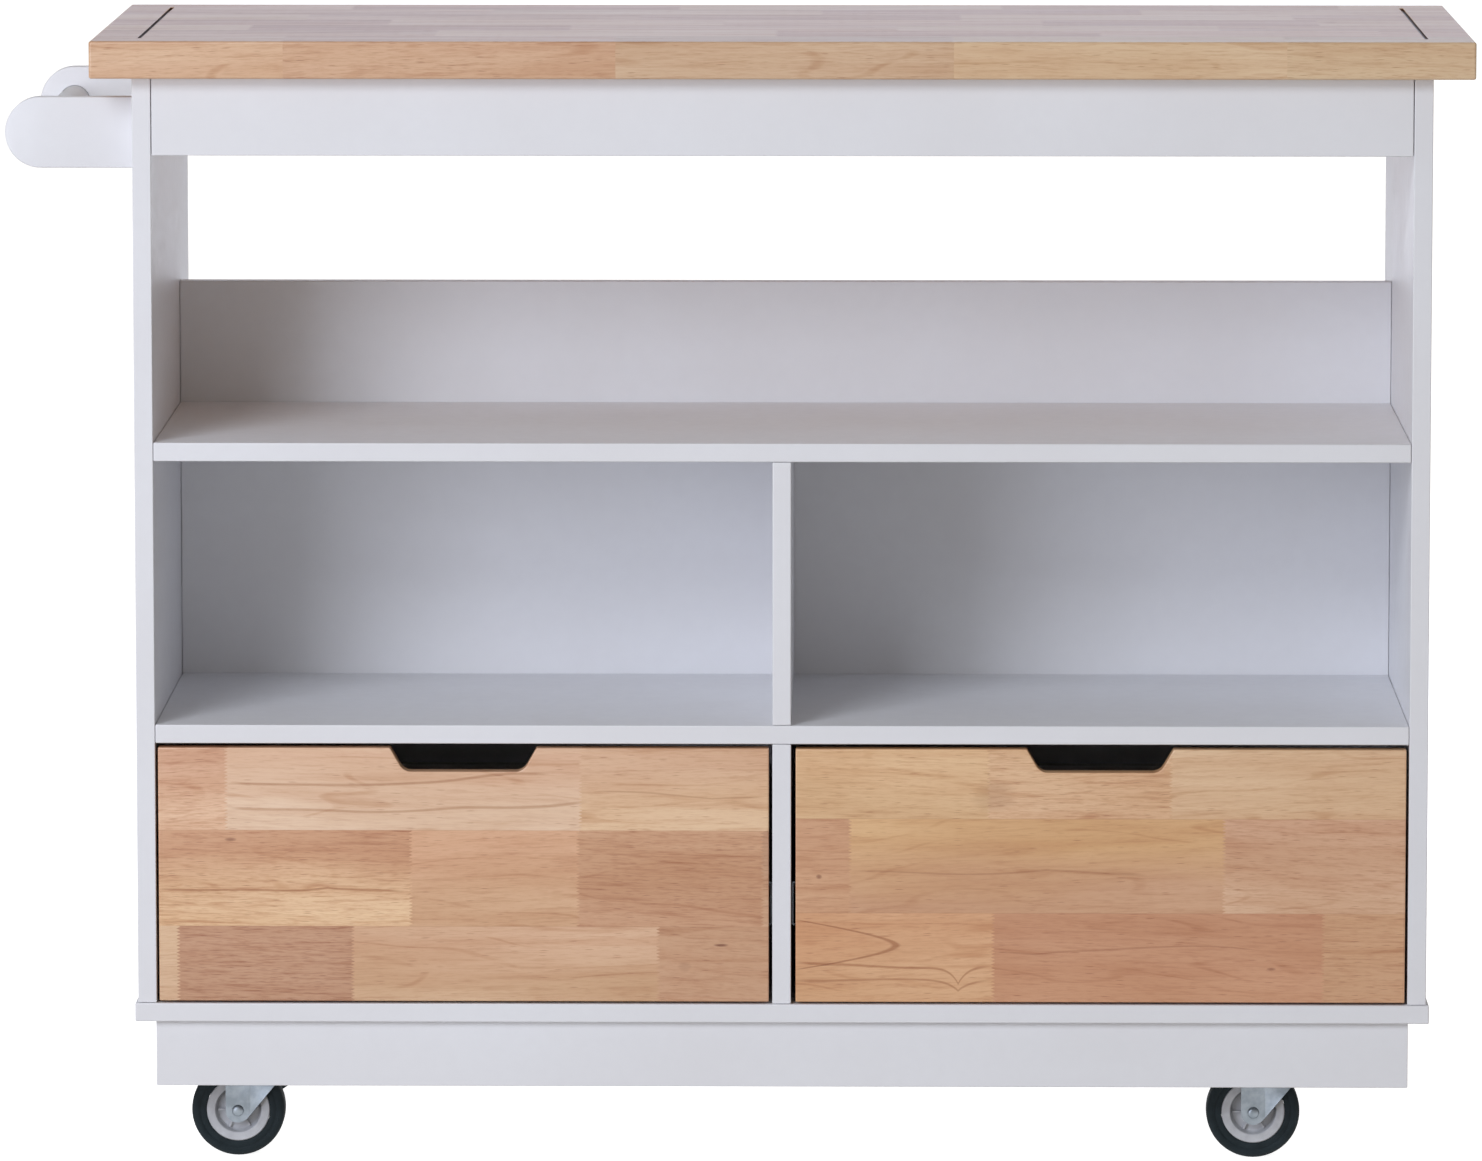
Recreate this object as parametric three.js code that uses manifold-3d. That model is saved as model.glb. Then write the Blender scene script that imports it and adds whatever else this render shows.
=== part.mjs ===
// Kitchen island cart: a rubberwood worktop on a white painted carcass with open shelves,
// two inset drawers, a towel rail at the left end and four swivel casters.
// Millimetres, +Z up, the front faces -Y, +X is to the right of someone standing in front.
// The origin is on the floor under the middle of the cart's overall box.

import * as THREE from 'three';
import { mergeVertices } from 'three/addons/utils/BufferGeometryUtils.js';
import Module from 'manifold-3d';

const wasm = await Module();
wasm.setup();

// ---------------------------------------------------------------- driving dimensions

const GAP = 0.3;                 // hairline between pieces that touch
const BOARD = 15;                // thickness of every painted board

const TOTAL_HEIGHT = 914;        // floor to the face of the worktop
const TOP_THICK = 30;
const TOP_OVERHANG_X = 33;       // worktop past the side panels
const TOP_OVERHANG_Y = 15;       // worktop past the carcass's front and rear edges
const GROOVE_INSET = 37.5;       // stopped grooves: from the ends and from both long edges
const GROOVE_WIDTH = 3;
const GROOVE_DEPTH = 2.5;

const CARCASS_WIDTH = 1038;      // over the two side panels
const CARCASS_DEPTH = 430;
const REAR_RECESS = 97;          // rear edge to the back of the back panel
const APRON_HEIGHT = 62;
const DRAWER_BAY_HEIGHT = 211.5; // bottom board to deck shelf
const CUBBY_HEIGHT = 213;        // deck shelf to upper shelf
const BACK_RISE = 101;           // back panel above the upper shelf

const BASE_OVERHANG = 2.5;       // bottom board past the side panels, each end
const BASE_LIP = 1.5;            // bottom board past the front and rear edges
const PLINTH_SETBACK_X = 14;     // plinth in from the side panels
const PLINTH_SETBACK_Y = 5;      // plinth in from the front and rear edges
const PLINTH_HEIGHT = 53;

const RAIL_MARGIN = 11;          // caster rail past the caster's plate, each side
const RAIL_THICK = 21;

const FRONT_THICK = 15;          // drawer front
const FRONT_TOP_CLEAR = 3.2;
const FRONT_BOTTOM_CLEAR = 1.9;
const FRONT_OUTER_CLEAR = 2.2;   // beside the side panel
const FRONT_INNER_CLEAR = 2.8;   // beside the drawer divider
const CUTOUT_TOP = 118;          // finger cut-out
const CUTOUT_BOTTOM = 90;
const CUTOUT_DEPTH = 19.5;
const CUTOUT_RADIUS = 8;         // at the two lower corners
const CUTOUT_LIP_RADIUS = 2.5;   // at the two upper corners

const DRAWER_BOARD = 12;         // drawer sides and back
const DRAWER_FLOOR = 6;
const DRAWER_SIDE_RISE = 12;     // from the lower edge of the front to the sides
const DRAWER_SIDE_DROP = 54.4;   // from the upper edge of the front down to the sides
const DRAWER_REAR_CLEAR = 17.7;  // from the drawer's back to the back panel
const DRAWER_FLOOR_RISE = 10;    // from the lower edge of the sides to the floor panel

const RUNNER_END_CLEAR = 5;      // from the runner's rear end to the rear end of the drawer's side
const RUNNER_SPACE = 12.7;       // between the bay's wall and the drawer's side
const RUNNER_SHEET = 1.5;
const RUNNER_RISE = 62;          // middle of the runner above the lower edge of the drawer's side
const RUNNER_HEIGHT = 36;        // over the cabinet member's lips
const RUNNER_BALL_GAP = 3.5;     // between the lips of the two members
const RUNNER_SLIP = 1.5;         // between a member's lips and the other member's web

const BRACKET_THICK = 15;        // towel rail
const BRACKET_HEIGHT = 57;
const BRACKET_REACH = 76;        // side panel to the middle of the bar
const BRACKET_INSET = 34.5;      // bracket's outer face in from the carcass's edge
const BRACKET_DROP = 18;         // underside of the worktop to the brackets
const BAR_RADIUS = 12.5;
const BAR_SOCKET = 6;            // depth of the blind sockets in the brackets
const BAR_CLEAR = 0.4;

const CASTER_INSET_X = 106;      // swivel axis in from the outer face of the side panel
const SWEEP_CLEAR = 1.7;         // between the turning wheel and the plinth's inner face
const CASTER_TRAIL = 30;         // swivel axis to axle
const WHEEL_RADIUS = 38;
const TYRE_WIDTH = 24;
const TYRE_WALL = 12.1;          // tread to the hub's seat
const TYRE_SHOULDER = 3;
const TYRE_TAPER = 0.5;          // each side of the tyre, and of the hub's rim inside it
const HUB_RIM = 7.2;             // wall round the hub's recess
const HUB_RECESS_DEPTH = 5;
const HUB_BOSS_WALL = 4.6;       // round the bore
const HUB_BOSS_PROUD = 1;        // past the tyre, each side
const AXLE_RADIUS = 3;
const AXLE_CLEAR = 0.4;
const AXLE_HEAD_LIP = 1.2;
const AXLE_HEAD = 2.2;
const FORK_SHEET = 2.5;
const FORK_CLEAR = 0.6;          // between the hub's boss and each leg
const FORK_EYE_WALL = 6.6;       // round the axle's hole in a leg
const FORK_LEAN = 39;            // degrees from upright of the leg's leading edge
const TYRE_TO_CROWN = 6;
const LOWER_RACE_RADIUS = 20;
const LOWER_RACE_HEIGHT = 5.5;
const UPPER_RACE_LIP = 3;        // upper race past the lower race
const UPPER_RACE_HEIGHT = 6.5;
const RACE_CLEAR = 0.5;
const KINGPIN_RADIUS = 5;
const KINGPIN_CLEAR = 0.5;
const KINGPIN_HEAD_LIP = 3;
const KINGPIN_HEAD = 2;
const PLATE_MARGIN = 8;          // plate past the upper race, each side
const PLATE_THICK = 3;

// ---------------------------------------------------------------- levels and planes

const crownUnder = 2 * WHEEL_RADIUS + TYRE_TO_CROWN;
const crownTop = crownUnder + FORK_SHEET;
const lowerRaceTop = crownTop + LOWER_RACE_HEIGHT;
const upperRaceUnder = lowerRaceTop + RACE_CLEAR;
const plateUnder = upperRaceUnder + UPPER_RACE_HEIGHT;
const casterHeight = plateUnder + PLATE_THICK;

const topUnder = TOTAL_HEIGHT - TOP_THICK;
const railUnder = casterHeight + GAP;
const baseUnder = railUnder + RAIL_THICK + GAP;
const baseTop = baseUnder + BOARD;
const deckUnder = baseTop + DRAWER_BAY_HEIGHT;
const deckTop = deckUnder + BOARD;
const shelfUnder = deckTop + CUBBY_HEIGHT;
const shelfTop = shelfUnder + BOARD;
const backTop = shelfTop + BACK_RISE;
const plinthTop = baseUnder - GAP;
const plinthUnder = plinthTop - PLINTH_HEIGHT;

const frontFace = -CARCASS_DEPTH / 2;
const rearFace = CARCASS_DEPTH / 2;
const backFace = rearFace - REAR_RECESS - BOARD;
const outerX = CARCASS_WIDTH / 2;
const innerX = outerX - BOARD;
const topX = outerX + TOP_OVERHANG_X;
const topY = rearFace + TOP_OVERHANG_Y;
const plinthX = outerX - PLINTH_SETBACK_X;
const plinthY = rearFace - PLINTH_SETBACK_Y;
const plinthInnerX = plinthX - BOARD;
const plinthInnerY = plinthY - BOARD;

// A swivelling wheel sweeps past the plinth at the height of the plinth's lower edge.
const plinthOverAxle = plinthUnder - WHEEL_RADIUS;
const halfChord = Math.sqrt(Math.max(0, WHEEL_RADIUS ** 2 - Math.max(0, plinthOverAxle) ** 2));
const sweepRadius = Math.hypot(CASTER_TRAIL + halfChord, TYRE_WIDTH / 2);
const casterX = outerX - CASTER_INSET_X;
const casterY = plinthInnerY - SWEEP_CLEAR - sweepRadius;
const plateHalf = LOWER_RACE_RADIUS + UPPER_RACE_LIP + PLATE_MARGIN;

const barX = -(outerX + BRACKET_REACH);
const barZ = topUnder - BRACKET_DROP - BRACKET_HEIGHT / 2;
const bracketY = rearFace - BRACKET_INSET - BRACKET_THICK / 2;

// ---------------------------------------------------------------- finishes

const whitePaint = () => new THREE.MeshStandardMaterial({ color: 0xe6e7ec, roughness: 0.5, metalness: 0 });
const rubberwood = () => new THREE.MeshStandardMaterial({ color: 0xcda57c, roughness: 0.55, metalness: 0 });
const drawerBoard = () => new THREE.MeshStandardMaterial({ color: 0xd8d6d2, roughness: 0.6, metalness: 0 });
const zincSteel = () => new THREE.MeshStandardMaterial({ color: 0xb4b7bb, roughness: 0.35, metalness: 0.9 });
const hubPlastic = () => new THREE.MeshStandardMaterial({ color: 0x8f9296, roughness: 0.5, metalness: 0 });
const blackRubber = () => new THREE.MeshStandardMaterial({ color: 0x1c1d1f, roughness: 0.7, metalness: 0 });

// ---------------------------------------------------------------- helpers

// A named mesh in a group.
function piece(group, name, geometry, material) {
  const mesh = new THREE.Mesh(geometry, material);
  mesh.name = name;
  group.add(mesh);
  return mesh;
}

// A box between two corners given as spans along X, Y and Z.
function slab([x0, x1], [y0, y1], [z0, z1]) {
  const box = new THREE.BoxGeometry(x1 - x0, y1 - y0, z1 - z0);
  box.translate((x0 + x1) / 2, (y0 + y1) / 2, (z0 + z1) / 2);
  return box;
}

// An outline drawn in X and Z, made solid from y0 to y1.
function prismY(outline, y0, y1, curveSegments = 6) {
  const options = { depth: y1 - y0, bevelEnabled: false, curveSegments };
  const prism = new THREE.ExtrudeGeometry(outline, options);
  prism.rotateX(Math.PI / 2);
  prism.translate(0, y1, 0);
  return prism;
}

// A closed outline of radius and Y position, turned about the Y axis.
function turned(profile, segments) {
  const points = profile.map(([radius, y]) => new THREE.Vector2(radius, y));
  return new THREE.LatheGeometry(points, segments);
}

// A cylinder standing along Z.
function upright(radius, z0, z1, segments) {
  const cylinder = new THREE.CylinderGeometry(radius, radius, z1 - z0, segments);
  cylinder.rotateX(Math.PI / 2);
  cylinder.translate(0, 0, (z0 + z1) / 2);
  return cylinder;
}

// A cylinder lying along Y.
function lying(radius, y0, y1, segments) {
  const cylinder = new THREE.CylinderGeometry(radius, radius, y1 - y0, segments);
  cylinder.translate(0, (y0 + y1) / 2, 0);
  return cylinder;
}

function toSolid(geometry) {
  const bare = geometry.clone();
  bare.deleteAttribute('normal');
  bare.deleteAttribute('uv');
  const merged = mergeVertices(bare, 1e-4);
  return new wasm.Manifold(new wasm.Mesh({
    numProp: 3,
    vertProperties: new Float32Array(merged.attributes.position.array),
    triVerts: new Uint32Array(merged.index.array),
  }));
}

function toGeometry(solid) {
  const mesh = solid.getMesh();
  const geometry = new THREE.BufferGeometry();
  geometry.setAttribute('position', new THREE.BufferAttribute(mesh.vertProperties, 3));
  geometry.setIndex(new THREE.BufferAttribute(mesh.triVerts, 1));
  geometry.computeVertexNormals();
  return geometry;
}

const joined = (parts) => toGeometry(parts.map(toSolid).reduce((whole, part) => whole.add(part)));

function cut(body, tools) {
  return toGeometry(tools.map(toSolid).reduce((rest, tool) => rest.subtract(tool), toSolid(body)));
}

// ---------------------------------------------------------------- worktop and carcass

const cart = new THREE.Group();
const carcass = new THREE.Group();
cart.add(carcass);

function worktop() {
  const board = slab([-topX, topX], [-topY, topY], [topUnder, TOTAL_HEIGHT]);
  const halfRun = topY - GROOVE_INSET;
  const grooves = [-1, 1].map((side) => {
    const middle = side * (topX - GROOVE_INSET);
    const across = [middle - GROOVE_WIDTH / 2, middle + GROOVE_WIDTH / 2];
    return slab(across, [-halfRun, halfRun], [TOTAL_HEIGHT - GROOVE_DEPTH, TOTAL_HEIGHT + 1]);
  });
  return cut(board, grooves);
}

piece(carcass, 'worktop', worktop(), rubberwood());

const fullDepth = [frontFace, rearFace];
const shelfRun = [frontFace, backFace - GAP];
const betweenSides = [-(innerX - GAP), innerX - GAP];
const underTop = topUnder - GAP;

for (const [name, side] of [['side_panel_left', -1], ['side_panel_right', 1]]) {
  const across = side < 0 ? [-outerX, -innerX] : [innerX, outerX];
  piece(carcass, name, slab(across, fullDepth, [baseTop + GAP, underTop]), whitePaint());
}

const apronSpan = [underTop - APRON_HEIGHT, underTop];
piece(carcass, 'front_apron', slab(betweenSides, [frontFace, frontFace + BOARD], apronSpan), whitePaint());
piece(carcass, 'rear_apron', slab(betweenSides, [rearFace - BOARD, rearFace], apronSpan), whitePaint());
piece(carcass, 'upper_shelf', slab(betweenSides, shelfRun, [shelfUnder, shelfTop]), whitePaint());
piece(carcass, 'deck_shelf', slab(betweenSides, shelfRun, [deckUnder, deckTop]), whitePaint());
const backSpan = [baseTop + GAP, backTop];
piece(carcass, 'back_panel', slab(betweenSides, [backFace, backFace + BOARD], backSpan), whitePaint());

const halfBoard = [-BOARD / 2, BOARD / 2];
piece(carcass, 'shelf_divider', slab(halfBoard, shelfRun, [deckTop + GAP, shelfUnder - GAP]), whitePaint());
piece(carcass, 'drawer_divider', slab(halfBoard, shelfRun, [baseTop + GAP, deckUnder - GAP]), whitePaint());

const baseX = outerX + BASE_OVERHANG;
const baseY = rearFace + BASE_LIP;
piece(carcass, 'bottom_board', slab([-baseX, baseX], [-baseY, baseY], [baseUnder, baseTop]), whitePaint());

// ---------------------------------------------------------------- plinth and caster rails

const plinthSpan = [plinthUnder, plinthTop];
const betweenPlinths = [-(plinthInnerY - GAP), plinthInnerY - GAP];

for (const [name, side] of [['plinth_front', -1], ['plinth_rear', 1]]) {
  const along = side < 0 ? [-plinthY, -plinthInnerY] : [plinthInnerY, plinthY];
  piece(carcass, name, slab([-plinthX, plinthX], along, plinthSpan), whitePaint());
}

for (const [name, side] of [['plinth_left', -1], ['plinth_right', 1]]) {
  const across = side < 0 ? [-plinthX, -plinthInnerX] : [plinthInnerX, plinthX];
  piece(carcass, name, slab(across, betweenPlinths, plinthSpan), whitePaint());
}

for (const [name, side] of [['caster_rail_left', -1], ['caster_rail_right', 1]]) {
  const middle = side * casterX;
  const half = plateHalf + RAIL_MARGIN;
  const across = [middle - half, middle + half];
  piece(carcass, name, slab(across, betweenPlinths, [railUnder, railUnder + RAIL_THICK]), whitePaint());
}

// ---------------------------------------------------------------- towel rail

function bracket(middleY, innerSide) {
  const radius = BRACKET_HEIGHT / 2;
  const root = -(outerX + GAP);
  const outline = new THREE.Shape();
  outline.moveTo(root, barZ - radius);
  outline.lineTo(root, barZ + radius);
  outline.lineTo(barX, barZ + radius);
  outline.absarc(barX, barZ, radius, Math.PI / 2, 3 * Math.PI / 2, false);
  const plate = prismY(outline, middleY - BRACKET_THICK / 2, middleY + BRACKET_THICK / 2, 12);
  const face = middleY + innerSide * BRACKET_THICK / 2;
  const socketEnds = [face - innerSide * BAR_SOCKET, face + innerSide].sort((a, b) => a - b);
  const socket = lying(BAR_RADIUS + BAR_CLEAR, socketEnds[0], socketEnds[1], 32);
  socket.translate(barX, 0, barZ);
  return cut(plate, [socket]);
}

piece(carcass, 'bracket_front', bracket(-bracketY, 1), whitePaint());
piece(carcass, 'bracket_rear', bracket(bracketY, -1), whitePaint());

const barHalf = bracketY - BRACKET_THICK / 2 + BAR_SOCKET - GAP;
const bar = piece(carcass, 'towel_bar', lying(BAR_RADIUS, -barHalf, barHalf, 32), whitePaint());
bar.position.set(barX, 0, barZ);

// ---------------------------------------------------------------- drawers and runners

// The front with its finger cut-out, drawn in X and Z.
function drawerFrontOutline(x0, x1, z0, z1) {
  const middle = (x0 + x1) / 2;
  const halfTop = CUTOUT_TOP / 2;
  const halfBottom = CUTOUT_BOTTOM / 2;
  const floor = z1 - CUTOUT_DEPTH;
  const slant = Math.atan2(CUTOUT_DEPTH, halfTop - halfBottom);
  const tangent = CUTOUT_RADIUS * Math.tan(slant / 2);
  const lipTangent = CUTOUT_LIP_RADIUS * Math.tan(slant / 2);
  const slope = [Math.cos(slant), Math.sin(slant)];
  const roundX = halfBottom - tangent;
  const roundZ = floor + CUTOUT_RADIUS;
  const outline = new THREE.Shape();
  outline.moveTo(x0, z0);
  outline.lineTo(x1, z0);
  outline.lineTo(x1, z1);
  outline.lineTo(middle + halfTop + lipTangent, z1);
  outline.quadraticCurveTo(
    middle + halfTop, z1,
    middle + halfTop - lipTangent * slope[0], z1 - lipTangent * slope[1]);
  outline.lineTo(middle + halfBottom + tangent * slope[0], floor + tangent * slope[1]);
  outline.absarc(middle + roundX, roundZ, CUTOUT_RADIUS, slant - Math.PI / 2, -Math.PI / 2, true);
  outline.lineTo(middle - roundX, floor);
  outline.absarc(middle - roundX, roundZ, CUTOUT_RADIUS, -Math.PI / 2, -Math.PI / 2 - slant, true);
  outline.lineTo(middle - halfTop + lipTangent * slope[0], z1 - lipTangent * slope[1]);
  outline.quadraticCurveTo(middle - halfTop, z1, middle - halfTop - lipTangent, z1);
  outline.lineTo(x0, z1);
  return outline;
}

// A runner member: a channel whose web stands at webX and whose lips point along inward.
function channel(webX, inward, width, height, middleZ, y0, y1) {
  const span = (from, to) => [webX + inward * from, webX + inward * to].sort((a, b) => a - b);
  const low = middleZ - height / 2;
  const high = middleZ + height / 2;
  const along = [y0, y1];
  return joined([
    slab(span(0, RUNNER_SHEET), along, [low, high]),
    slab(span(0, width), along, [low, low + RUNNER_SHEET]),
    slab(span(0, width), along, [high - RUNNER_SHEET, high]),
  ]);
}

function drawer(hand, side) {
  const bay = side < 0 ? [-innerX, -BOARD / 2] : [BOARD / 2, innerX];
  const clear = side < 0 ? [FRONT_OUTER_CLEAR, FRONT_INNER_CLEAR] : [FRONT_INNER_CLEAR, FRONT_OUTER_CLEAR];
  const frontZ = [baseTop + FRONT_BOTTOM_CLEAR, deckUnder - FRONT_TOP_CLEAR];
  const outline = drawerFrontOutline(bay[0] + clear[0], bay[1] - clear[1], frontZ[0], frontZ[1]);
  const frontBack = frontFace + FRONT_THICK;
  piece(carcass, `drawer_${hand}_front`, prismY(outline, frontFace, frontBack, 5), rubberwood());

  const boxX = [bay[0] + RUNNER_SPACE, bay[1] - RUNNER_SPACE];
  const sideZ0 = frontZ[0] + DRAWER_SIDE_RISE;
  const sideZ = [sideZ0, frontZ[1] - DRAWER_SIDE_DROP];
  const sideY = [frontBack + GAP, backFace - DRAWER_REAR_CLEAR];
  const insideX = [boxX[0] + DRAWER_BOARD + GAP, boxX[1] - DRAWER_BOARD - GAP];
  const floorZ = [sideZ0 + DRAWER_FLOOR_RISE, sideZ0 + DRAWER_FLOOR_RISE + DRAWER_FLOOR];
  const backY = [sideY[1] - DRAWER_BOARD, sideY[1]];
  const walls = [['side_left', boxX[0]], ['side_right', boxX[1] - DRAWER_BOARD]];
  for (const [wall, x] of walls) {
    piece(carcass, `drawer_${hand}_${wall}`, slab([x, x + DRAWER_BOARD], sideY, sideZ), drawerBoard());
  }
  piece(carcass, `drawer_${hand}_back`, slab(insideX, backY, sideZ), drawerBoard());
  piece(carcass, `drawer_${hand}_bottom`, slab(insideX, [sideY[0], backY[0] - GAP], floorZ), drawerBoard());

  const runnerZ = sideZ0 + RUNNER_RISE;
  const runnerY = [sideY[0] + GAP, sideY[1] - RUNNER_END_CLEAR];
  const memberWidth = RUNNER_SPACE - 2 * GAP - RUNNER_SHEET - RUNNER_SLIP;
  const drawerMemberHeight = RUNNER_HEIGHT - 2 * (RUNNER_SHEET + RUNNER_BALL_GAP);
  for (const [wall, inward] of [['left', 1], ['right', -1]]) {
    const bayWall = inward > 0 ? bay[0] : bay[1];
    const boxWall = inward > 0 ? boxX[0] : boxX[1];
    piece(carcass, `runner_${hand}_${wall}_cabinet`,
      channel(bayWall + inward * GAP, inward, memberWidth, RUNNER_HEIGHT, runnerZ, ...runnerY),
      zincSteel());
    piece(carcass, `runner_${hand}_${wall}_drawer`,
      channel(boxWall - inward * GAP, -inward, memberWidth, drawerMemberHeight, runnerZ, ...runnerY),
      zincSteel());
  }
}

drawer('left', -1);
drawer('right', 1);

// ---------------------------------------------------------------- casters

// Everything in a caster is drawn about its swivel axis, with the floor at zero.
const axleX = -CASTER_TRAIL;
const axleBore = AXLE_RADIUS + AXLE_CLEAR;
const bossHalf = TYRE_WIDTH / 2 + HUB_BOSS_PROUD;
const hubRadius = WHEEL_RADIUS - TYRE_WALL - GAP;
const legInner = bossHalf + FORK_CLEAR;
const legOuter = legInner + FORK_SHEET;

function casterPlate() {
  const plate = slab([-plateHalf, plateHalf], [-plateHalf, plateHalf], [plateUnder, casterHeight]);
  const race = upright(LOWER_RACE_RADIUS + UPPER_RACE_LIP, upperRaceUnder, plateUnder + PLATE_THICK / 2, 24);
  const headTop = crownUnder - RACE_CLEAR;
  const kingpin = upright(KINGPIN_RADIUS, headTop - KINGPIN_HEAD, upperRaceUnder + PLATE_THICK / 2, 16);
  const head = upright(KINGPIN_RADIUS + KINGPIN_HEAD_LIP, headTop - KINGPIN_HEAD, headTop, 16);
  return joined([plate, race, kingpin, head]);
}

// Each leg runs from a round eye about the axle up to the crown, leaning ahead to the race.
function casterFork() {
  const lean = THREE.MathUtils.degToRad(FORK_LEAN);
  const eye = axleBore + FORK_EYE_WALL;
  const eyeEnd = [axleX + eye * Math.cos(lean), WHEEL_RADIUS - eye * Math.sin(lean)];
  const nose = Math.min(LOWER_RACE_RADIUS, eyeEnd[0] + (crownUnder - eyeEnd[1]) * Math.tan(lean));
  const leg = new THREE.Shape();
  leg.moveTo(axleX - eye, crownTop);
  leg.absarc(axleX, WHEEL_RADIUS, eye, Math.PI, 2 * Math.PI - lean, false);
  leg.lineTo(nose, crownUnder);
  leg.lineTo(nose, crownTop);
  const legs = [prismY(leg, -legOuter, -legInner, 8), prismY(leg, legInner, legOuter, 8)];
  const crown = slab([axleX - eye, nose], [-legOuter, legOuter], [crownUnder, crownTop]);
  const race = upright(LOWER_RACE_RADIUS, crownUnder, lowerRaceTop, 24);
  const pinHole = upright(KINGPIN_RADIUS + KINGPIN_CLEAR, crownUnder - 1, lowerRaceTop + 1, 16);
  const axleHole = lying(axleBore, -legOuter - 1, legOuter + 1, 16);
  axleHole.translate(axleX, 0, WHEEL_RADIUS);
  return cut(joined([...legs, crown, race]), [pinHole, axleHole]);
}

function casterAxle() {
  const headFrom = legOuter + GAP;
  const headTo = headFrom + AXLE_HEAD;
  const headRadius = axleBore + AXLE_HEAD_LIP;
  const crownRadius = headRadius * 0.6;
  const crownFrom = headTo - AXLE_HEAD / 4;
  return turned([
    [0, -headTo], [crownRadius, -crownFrom], [headRadius, -headFrom],
    [AXLE_RADIUS, -headFrom], [AXLE_RADIUS, headFrom],
    [headRadius, headFrom], [crownRadius, crownFrom], [0, headTo],
  ], 16);
}

function wheelHub() {
  const rim = TYRE_WIDTH / 2 - TYRE_TAPER;
  const web = rim - HUB_RECESS_DEPTH;
  const bossRadius = axleBore + HUB_BOSS_WALL;
  const recessRadius = hubRadius - HUB_RIM;
  return turned([
    [axleBore, -bossHalf], [bossRadius, -bossHalf], [bossRadius, -web], [recessRadius, -web],
    [recessRadius, -rim], [hubRadius, -rim], [hubRadius, rim], [recessRadius, rim],
    [recessRadius, web], [bossRadius, web], [bossRadius, bossHalf], [axleBore, bossHalf],
    [axleBore, -bossHalf],
  ], 24);
}

function wheelTyre() {
  const half = TYRE_WIDTH / 2;
  const seat = WHEEL_RADIUS - TYRE_WALL;
  const shoulder = WHEEL_RADIUS - TYRE_SHOULDER;
  return turned([
    [seat, -half + TYRE_TAPER], [shoulder, -half], [WHEEL_RADIUS, -half + TYRE_SHOULDER],
    [WHEEL_RADIUS, half - TYRE_SHOULDER], [shoulder, half], [seat, half - TYRE_TAPER],
    [seat, -half + TYRE_TAPER],
  ], 32);
}

const corners = [
  ['front_left', -casterX, -casterY], ['front_right', casterX, -casterY],
  ['rear_left', -casterX, casterY], ['rear_right', casterX, casterY],
];

for (const [corner, x, y] of corners) {
  const caster = new THREE.Group();
  caster.position.set(x, y, 0);
  carcass.add(caster);
  piece(caster, `caster_plate_${corner}`, casterPlate(), zincSteel());
  piece(caster, `caster_fork_${corner}`, casterFork(), zincSteel());
  const wheel = new THREE.Group();
  wheel.position.set(axleX, 0, WHEEL_RADIUS);
  caster.add(wheel);
  piece(wheel, `axle_${corner}`, casterAxle(), zincSteel());
  piece(wheel, `hub_${corner}`, wheelHub(), hubPlastic());
  piece(wheel, `tyre_${corner}`, wheelTyre(), blackRubber());
}

// The overall box runs from the towel rail's round end to the right end of the worktop.
const overallLeft = Math.min(barX - BRACKET_HEIGHT / 2, -topX);
carcass.position.x = -(overallLeft + topX) / 2;

export default cart;
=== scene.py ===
# %% [markdown]
# # Kitchen island cart
#
# A long kitchen cart: a glued-up rubberwood worktop on a white painted carcass, two
# rubberwood drawer fronts, a towel rail at the left end and four swivel casters.
# The fixed frame holds every size and every joint. Each cell below gives one part of
# the cart its real surface: eased edges, glued staves, bent sheet steel, moulded tyres.
# The frame comes in first.

# %% Load the frame
import math

import bmesh
import bpy
from mathutils import Matrix, Vector


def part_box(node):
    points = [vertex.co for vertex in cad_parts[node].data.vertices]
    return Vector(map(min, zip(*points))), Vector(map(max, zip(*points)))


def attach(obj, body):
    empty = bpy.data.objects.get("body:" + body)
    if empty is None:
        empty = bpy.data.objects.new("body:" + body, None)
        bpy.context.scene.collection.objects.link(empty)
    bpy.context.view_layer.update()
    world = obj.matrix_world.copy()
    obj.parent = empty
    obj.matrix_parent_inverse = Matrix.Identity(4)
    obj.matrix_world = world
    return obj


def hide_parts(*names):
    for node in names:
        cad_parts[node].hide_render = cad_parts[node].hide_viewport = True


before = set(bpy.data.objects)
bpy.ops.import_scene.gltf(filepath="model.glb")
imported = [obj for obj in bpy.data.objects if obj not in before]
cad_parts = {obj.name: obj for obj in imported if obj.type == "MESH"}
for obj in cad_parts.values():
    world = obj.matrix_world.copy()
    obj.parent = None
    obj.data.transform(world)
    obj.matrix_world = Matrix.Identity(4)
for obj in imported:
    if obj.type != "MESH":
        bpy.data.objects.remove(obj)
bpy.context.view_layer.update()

# %% [markdown]
# ## Camera
#
# The cart is seen from nearly straight ahead with a long lens, a little above the worktop,
# so the top shows as a thin band and the shelves show their upper faces. A long lens from
# eight metres keeps uprights almost parallel, as the eye sees furniture across a room.
# A short lens nearby could frame the cart too, but the sides would splay.

# %% Camera
lens_camera = bpy.data.cameras.new("camera")
lens_camera.sensor_width = 36.0
lens_camera.lens = 239.2
lens_camera.clip_end = 100.0
camera = bpy.data.objects.new("camera", lens_camera)
camera.location = (0.1029, -8.0518, 1.4444)
camera.rotation_euler = (math.radians(82.99), 0.0, math.radians(0.73))
bpy.context.scene.collection.objects.link(camera)
bpy.context.scene.camera = camera
print("camera", tuple(round(v, 3) for v in camera.location))

# %% [markdown]
# ## Helpers for pieces
#
# Every piece starts as a bmesh, a loose mesh that operators can cut and round, and ends as
# an object that rides one body of the frame and stands for the plain solid of the same
# place. One helper does the ending for all of them, so no piece is left riding on nothing.

# %% Finish a piece
MM = 0.001


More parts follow.
